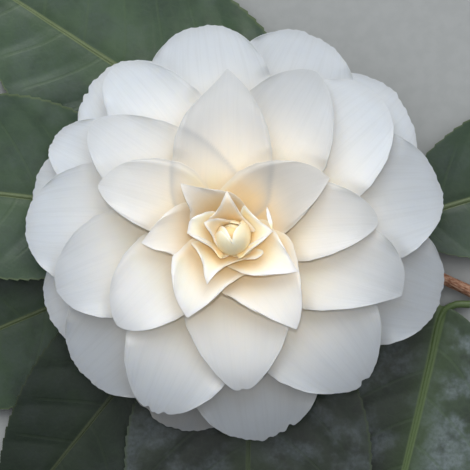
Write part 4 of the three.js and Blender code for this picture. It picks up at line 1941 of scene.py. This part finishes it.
@dataclass(frozen=True)
class Leaf:
    """One leaf, by its middle line and half widths.

    Attributes:
        node: the solid that it stands for.
        foot: where the blade begins.
        turn: direction of its tip, in degrees from the picture's right.
        bend: how much its middle line curves.
        length: of the blade.
        left: half width on its left.
        right: half width on its right.
        heights: low, middle and tip points of its curve up and down.
        fold: how far its sides stand up.
        petiole: where its stalk leaves the twig.
        full: below 1 the blade is widest before its middle.
        tone: how far its colour is darkened, 1 for the lightest leaf; for the leaves in the
            flower's shade this is painted shade.
        rib_band: half width of the pale rib at the blade's foot.
        dim: how much darker the half on its right is, as painted shade.
        skin: how it takes the light.
    """

    node: str
    foot: tuple[float, float]
    turn: float
    bend: float
    length: float
    left: float
    right: float
    heights: tuple[float, float, float]
    fold: float
    petiole: tuple[float, float, float]
    full: float
    tone: float = 1.0
    rib_band: float = 1.0
    dim: float = 0.0
    skin: Skin = Skin.BRIGHT

    def half_width(self, share: np.ndarray) -> np.ndarray:
        """Gives the blade's half width as a share of its greatest.

        Args:
            share: 0 at the blade's foot, 1 at its tip.

        Returns:
            The shares.
        """
        arc = np.maximum(0, np.sin(math.pi * share**self.full)) ** 0.78
        taper = 1 - 0.16 * smooth_step(share, 0.72, 0.97)
        return np.maximum(0.025, arc * taper)

    def place(self, share: np.ndarray, aside: np.ndarray) -> np.ndarray:
        """Puts a share of the length and a distance aside onto the blade.

        Args:
            share: 0 at the blade's foot, 1 at its tip.
            aside: millimetres from the middle line, positive on the left.

        Returns:
            One place a row.
        """
        limit = np.where(aside > 0, self.left, self.right)
        out = share * self.length
        bow = self.bend * self.length * share * (share - 0.4)
        low, middle, tip = self.heights
        rest = 1 - share
        height = rest**2 * low + 2 * rest * share * middle + share**2 * tip
        height = height + self.fold * np.minimum(1.2, np.abs(aside) / limit) ** 1.5
        x, y = swung(out, aside + bow, math.radians(self.turn))
        return np.stack((self.foot[0] + x, self.foot[1] + y, height), axis=1)


LEAVES = (
    Leaf(
        "leaf_upper_left",
        (17, 12), 147, 0, 100, 28, 29, (3.2, 1.9, 0.7), 1.2, (19.9, 0.6, 3.6), 0.8,
        rib_band=1.3,
    ),
    Leaf(
        "leaf_left",
        (-18, 5.5), 173, 0, 92, 20.5, 24.5, (5.6, 11, 3.6), 1.5, (-14.6, 2.1, 4.4), 0.75,
        tone=0.95,
    ),
    Leaf(
        "leaf_lower_left",
        (-13, -4), 203, 0, 86, 21, 22, (3, 2, 0.6), 1.2, (-9.3, -1.3, 3.8), 0.85,
        tone=0.6, skin=Skin.DULL,
    ),
    Leaf(
        "leaf_under_left",
        (-5, -9), 231, 0, 84, 20, 20, (4.4, 7, 2.4), 1.2, (-1.6, -2.1, 3.8), 0.85,
        tone=0.3, skin=Skin.DULL,
    ),
    Leaf(
        "leaf_bottom",
        (5, -10), 268.5, 0.02, 100, 30, 30, (5.2, 10.6, 4), 1.4, (8.3, -2.6, 4.1), 0.85,
        tone=0.42, skin=Skin.WAXY,
    ),
    Leaf(
        "leaf_lower_right",
        (50.9, -16.9), 257, -0.03, 92, 29, 29, (2.2, 2.3, 0.6), 1.6, (57.5, -16.5, 2), 0.8,
        rib_band=1.4, dim=0.45, skin=Skin.WAXY,
    ),
    Leaf(
        "leaf_right",
        (38.5, 3), 17, 0, 80, 20, 18, (3.4, 2.6, 0.6), 1.4, (34.3, -2.2, 3.5), 0.85,
        tone=0.85,
    ),
)


@dataclass
class Foliage:
    """The seven leaves round and under the flower.

    Attributes:
        thickness: of a blade.
        tooth: millimetres from one tooth of the margin to the next.
        tooth_depth: how deep the teeth are cut.
        quilt: how far the blade bulges between its side veins.
        vein_pitch: millimetres between side veins.
        petiole_radius: radius of the leaf's stalk.
        rib_tip_radius: radius of the rib near the blade's tip.
        groove_depth: depth of the groove over the middle rib.
        groove_width: half width of that groove.
        blade_grid: faces across and along a blade.
        rib_grid: faces round and along a stalk with its rib.
        bright_finish: of the leaves in the light.
        dull_finish: of the leaves in the flower's shade.
        waxy_finish: of the leaves that mirror the sky, with more painted sheen besides.
    """

    thickness: float = 0.55
    tooth: float = 2.6
    tooth_depth: float = 0.45
    quilt: float = 0.4
    vein_pitch: float = VEIN_PITCH
    petiole_radius: float = 0.95
    rib_tip_radius: float = 0.45
    groove_depth: float = 0.35
    groove_width: float = 1.4
    blade_grid: tuple[int, int] = (64, 220)
    rib_grid: tuple[int, int] = (14, 90)
    bright_finish: LeafFinish = field(default_factory=LeafFinish)
    dull_finish: LeafFinish = LeafFinish(name="leaf_shaded_green", shine=0.25, sheen_and_blots=0.35)
    waxy_finish: LeafFinish = LeafFinish(
        name="leaf_waxy_green",
        shine=0.38,
        sheen_and_blots=0.85,
        sheen_grey=(0.2, 0.245, 0.26),
        halo=0.7,
        rib=(0.12, 0.18, 0.065),
        dark=(0.018, 0.034, 0.018),
        light=(0.05, 0.08, 0.045),
    )

    def blade(self, leaf: Leaf) -> Piece:
        """Models a leaf's blade with its teeth, rib groove and quilting.

        Args:
            leaf: the leaf.

        Returns:
            The blade.
        """
        notes: dict[str, np.ndarray] = {}

        def place(across: np.ndarray, along: np.ndarray) -> np.ndarray:
            """Lays the grid over the blade and keeps what the finish reads.

            Args:
                across: share of the way across.
                along: share of the way from the foot.

            Returns:
                One place a row.
            """
            side = 2 * across - 1
            side = np.sign(side) * np.abs(side) ** 0.85
            limit = np.where(side > 0, leaf.left, leaf.right)
            saw = (along * leaf.length / self.tooth) % 1.0
            bite = self.tooth_depth * saw * smooth_step(along, 0.05, 0.2)
            bite = bite * smooth_step(1 - along, 0.0, 0.06)
            width = leaf.half_width(along) * limit
            width = np.maximum(width - bite * np.abs(side) ** 14, 0.3)
            aside = side * width
            laid = leaf.place(along, aside)
            away = np.abs(aside)
            out = along * leaf.length
            start = out - VEIN_LEAN * away - VEIN_BOW * away**2
            turn = start / self.vein_pitch + VEIN_STAGGER * np.sign(aside)
            bulge = np.abs(np.sin(math.pi * (turn + 0.5)))
            body = np.sin(math.pi * np.clip(np.abs(side), 0, 1)) ** 0.6
            laid[:, 2] += self.quilt * (bulge - 0.5) * body
            laid[:, 2] -= self.groove_depth * np.exp(-((away / self.groove_width) ** 2))
            laid[:, 2] = np.maximum(laid[:, 2], LOWEST_BLADE)
            notes["edge_share"] = np.abs(side)
            notes["rib_width"] = leaf.rib_band * (1 - 0.72 * along**0.8)
            notes["aside"] = aside
            notes["out"] = out
            return laid

        piece = sheet(f"{leaf.node}_blade", *self.blade_grid, place)
        # painted shade: the right half darkened by dim, and the whole leaf by its tone
        shade = leaf.dim * smooth_step(-notes["aside"], -2, 4)
        mark(piece, edge_share=notes["edge_share"], rib_width=notes["rib_width"])
        mark(piece, tone=leaf.tone * (1 - shade))
        loops = np.empty(len(piece.data.loops), dtype=np.int64)
        piece.data.loops.foreach_get("vertex_index", loops)
        flat = np.stack((notes["aside"][loops], notes["out"][loops]), axis=1) / UV_SPAN
        piece.data.uv_layers[0].data.foreach_set("uv", flat.ravel())
        thicken(piece, self.thickness, Face.MIDDLE)
        return piece

    def rib(self, leaf: Leaf) -> Piece:
        """Models the leaf's stalk, which runs on under the blade as its middle rib.

        Args:
            leaf: the leaf.

        Returns:
            The stalk and rib.
        """
        sides, rows = self.rib_grid
        start = np.array(leaf.petiole)
        foot = np.array((*leaf.foot, leaf.heights[0]))
        middle = start + (foot - start) * 0.6 + (0, 0, -0.2)
        shares = np.array((0.03, 0.15, 0.35, 0.6, 0.85, 0.97))
        blade = leaf.place(shares, np.zeros_like(shares))
        blade[:, 2] = np.maximum(blade[:, 2] - 0.45, 0.53)
        along = np.linspace(0, 1, rows + 1)
        path = curve_through([start, middle, *blade], along)
        taper = np.minimum(1, along * 1.15) ** 0.6
        radius = self.petiole_radius + (self.rib_tip_radius - self.petiole_radius) * taper
        radius = radius * np.sqrt(np.clip((1 - along) * 30, 0.02, 1))
        path[:, 2] = np.maximum(path[:, 2], radius + 0.05)
        radii = np.repeat(radius[:, None], sides + 1, axis=1)
        piece = tube(f"{leaf.node}_rib", sides, rows, path, radii)
        mark(piece, edge_share=0.0, rib_width=400.0, tone=leaf.tone)
        return piece

    def build(self) -> list[Piece]:
        """Models and dresses the leaves.

        Returns:
            One piece a leaf.
        """
        skins = {
            Skin.BRIGHT: self.bright_finish.make(),
            Skin.DULL: self.dull_finish.make(),
            Skin.WAXY: self.waxy_finish.make(),
        }
        pieces = []
        for leaf in LEAVES:
            name = leaf.node.replace("leaf_", "green_leaf_")
            piece = joined(name, [self.blade(leaf), self.rib(leaf)])
            paint(piece, skins[leaf.skin])
            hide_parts(leaf.node)
            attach(piece, "root")
            pieces.append(piece)
        return pieces


@dataclass
class Studio:
    """Pale floor, soft light and the camera that looks straight down on the flower.

    Attributes:
        petal_plane: height at which the frame's width is measured.
        distance: from that height up to the camera.
        frame_width: width of what the camera sees at that height.
        offset: the picture's middle from the flower's axis.
        bright_side: the direction that most of the soft light comes from.
        room_span: how squarely a direction faces that side where the light begins and ends
            to rise.
        room_colour: its colour.
        room_light: strength of the soft light all round, from the dark and the bright side.
        key_power: of the broad light, in watts.
        key_size: its side in metres.
        heart_power: of the narrow light, in watts.
        heart_cone: its width in degrees.
        floor_size: side of the floor in metres.
    """

    petal_plane: float = 16.0
    distance: float = 2000.0
    frame_width: float = 112.8
    offset: tuple[float, float] = (0.72, 0.24)
    bright_side: tuple[float, float, float] = (-0.12, 0.68, 0.72)
    room_span: tuple[float, float] = (-0.25, 0.95)
    room_colour: Colour = (0.94, 0.97, 1.01)
    room_light: tuple[float, float] = (0.10, 0.9)
    key_power: float = 7.0
    key_size: float = 1.2
    heart_power: float = 24.0
    heart_cone: float = 4.0
    floor_size: float = 4.0

    def floor(self) -> None:
        """Lays the floor."""
        clear_selection()
        bpy.ops.mesh.primitive_plane_add(size=self.floor_size, location=(0, 0, 0))
        piece = bpy.context.object
        piece.name = "pale_floor"
        paint(piece, FloorFinish().make())

    def lamp(
        self,
        kind: str,
        name: str,
        place: Sequence[float],
        aim: Sequence[float],
        power: float,
        colour: Colour,
    ) -> bpy.types.Light:
        """Hangs one light that faces the flower.

        Args:
            kind: what sort of light it is.
            name: its name.
            place: metres from the flower's axis.
            aim: the point that it faces, likewise.
            power: in watts.
            colour: its colour.

        Returns:
            The light's own settings.
        """
        spot = ORIGIN + Vector(place)
        clear_selection()
        bpy.ops.object.light_add(type=kind, location=spot)
        lamp = bpy.context.object
        lamp.name = name
        lamp.data.energy = power
        lamp.data.color = colour
        toward = ORIGIN + Vector(aim) - spot
        lamp.rotation_euler = toward.to_track_quat("-Z", "Y").to_euler()
        return lamp.data

    def key_light(self) -> None:
        """Hangs the broad soft light."""
        place, aim = (-0.15, 1.0, 1.0), (0, 0, 0.02)
        light = self.lamp("AREA", "key_light", place, aim, self.key_power, (1.0, 0.985, 0.96))
        light.shape = "SQUARE"
        light.size = self.key_size

    def heart_light(self) -> None:
        """Hangs a narrow light over the flower's heart, which fades towards the outer petals."""
        place, aim = (-0.008, 0.087, 1.15), (0.002, 0.007, 0.03)
        light = self.lamp("SPOT", "heart_light", place, aim, self.heart_power, (1.0, 0.952, 0.888))
        light.shadow_soft_size = 0.02
        light.spot_size = math.radians(self.heart_cone)
        light.spot_blend = 1.0

    def room(self) -> None:
        """Sets the soft light all round, brightest from one side."""
        world = bpy.data.worlds.new("soft_room")
        world.use_nodes = True
        nodes, links = world.node_tree.nodes, world.node_tree.links
        toward = nodes.new("ShaderNodeVectorMath")
        toward.operation = "DOT_PRODUCT"
        toward.inputs[1].default_value = self.bright_side
        links.new(nodes.new("ShaderNodeTexCoord").outputs["Generated"], toward.inputs[0])
        fall = nodes.new("ShaderNodeMapRange")
        fall.interpolation_type = "SMOOTHSTEP"
        names = ("From Min", "From Max", "To Min", "To Max")
        for name, number in zip(names, (*self.room_span, *self.room_light)):
            fall.inputs[name].default_value = number
        links.new(toward.outputs["Value"], fall.inputs["Value"])
        room = nodes["Background"]
        room.inputs["Color"].default_value = (*self.room_colour, 1.0)
        links.new(fall.outputs["Result"], room.inputs["Strength"])
        bpy.context.scene.world = world
        view = bpy.context.scene.view_settings
        view.view_transform = "Standard"
        view.look = "None"

    def camera(self) -> None:
        """Sets the camera straight above the flower."""
        height = (self.petal_plane + self.distance) * MM
        spot = ORIGIN + Vector((self.offset[0] * MM, self.offset[1] * MM, height))
        clear_selection()
        bpy.ops.object.camera_add(location=spot, rotation=(0, 0, 0))
        camera = bpy.context.object
        camera.name = "view_from_above"
        camera.data.sensor_width = 36.0
        camera.data.lens = 36.0 * self.distance / self.frame_width
        camera.data.clip_start = 0.01
        camera.data.clip_end = 20.0
        bpy.context.scene.camera = camera

    def build(self) -> None:
        """Sets the whole stage."""
        self.floor()
        self.key_light()
        self.heart_light()
        self.room()
        self.camera()


def main() -> None:
    """Builds the sprig and its stage, and reports each piece."""
    logging.basicConfig(level=logging.INFO, format="%(name)s: %(message)s")
    Studio().build()
    for maker in (Twig(), Foliage(), FlowerStalk(), BudScales(), Bloom()):
        for piece in maker.build():
            LOG.info("%s: %d faces", piece.name, len(piece.data.polygons))


if __name__ == "__main__":
    main()
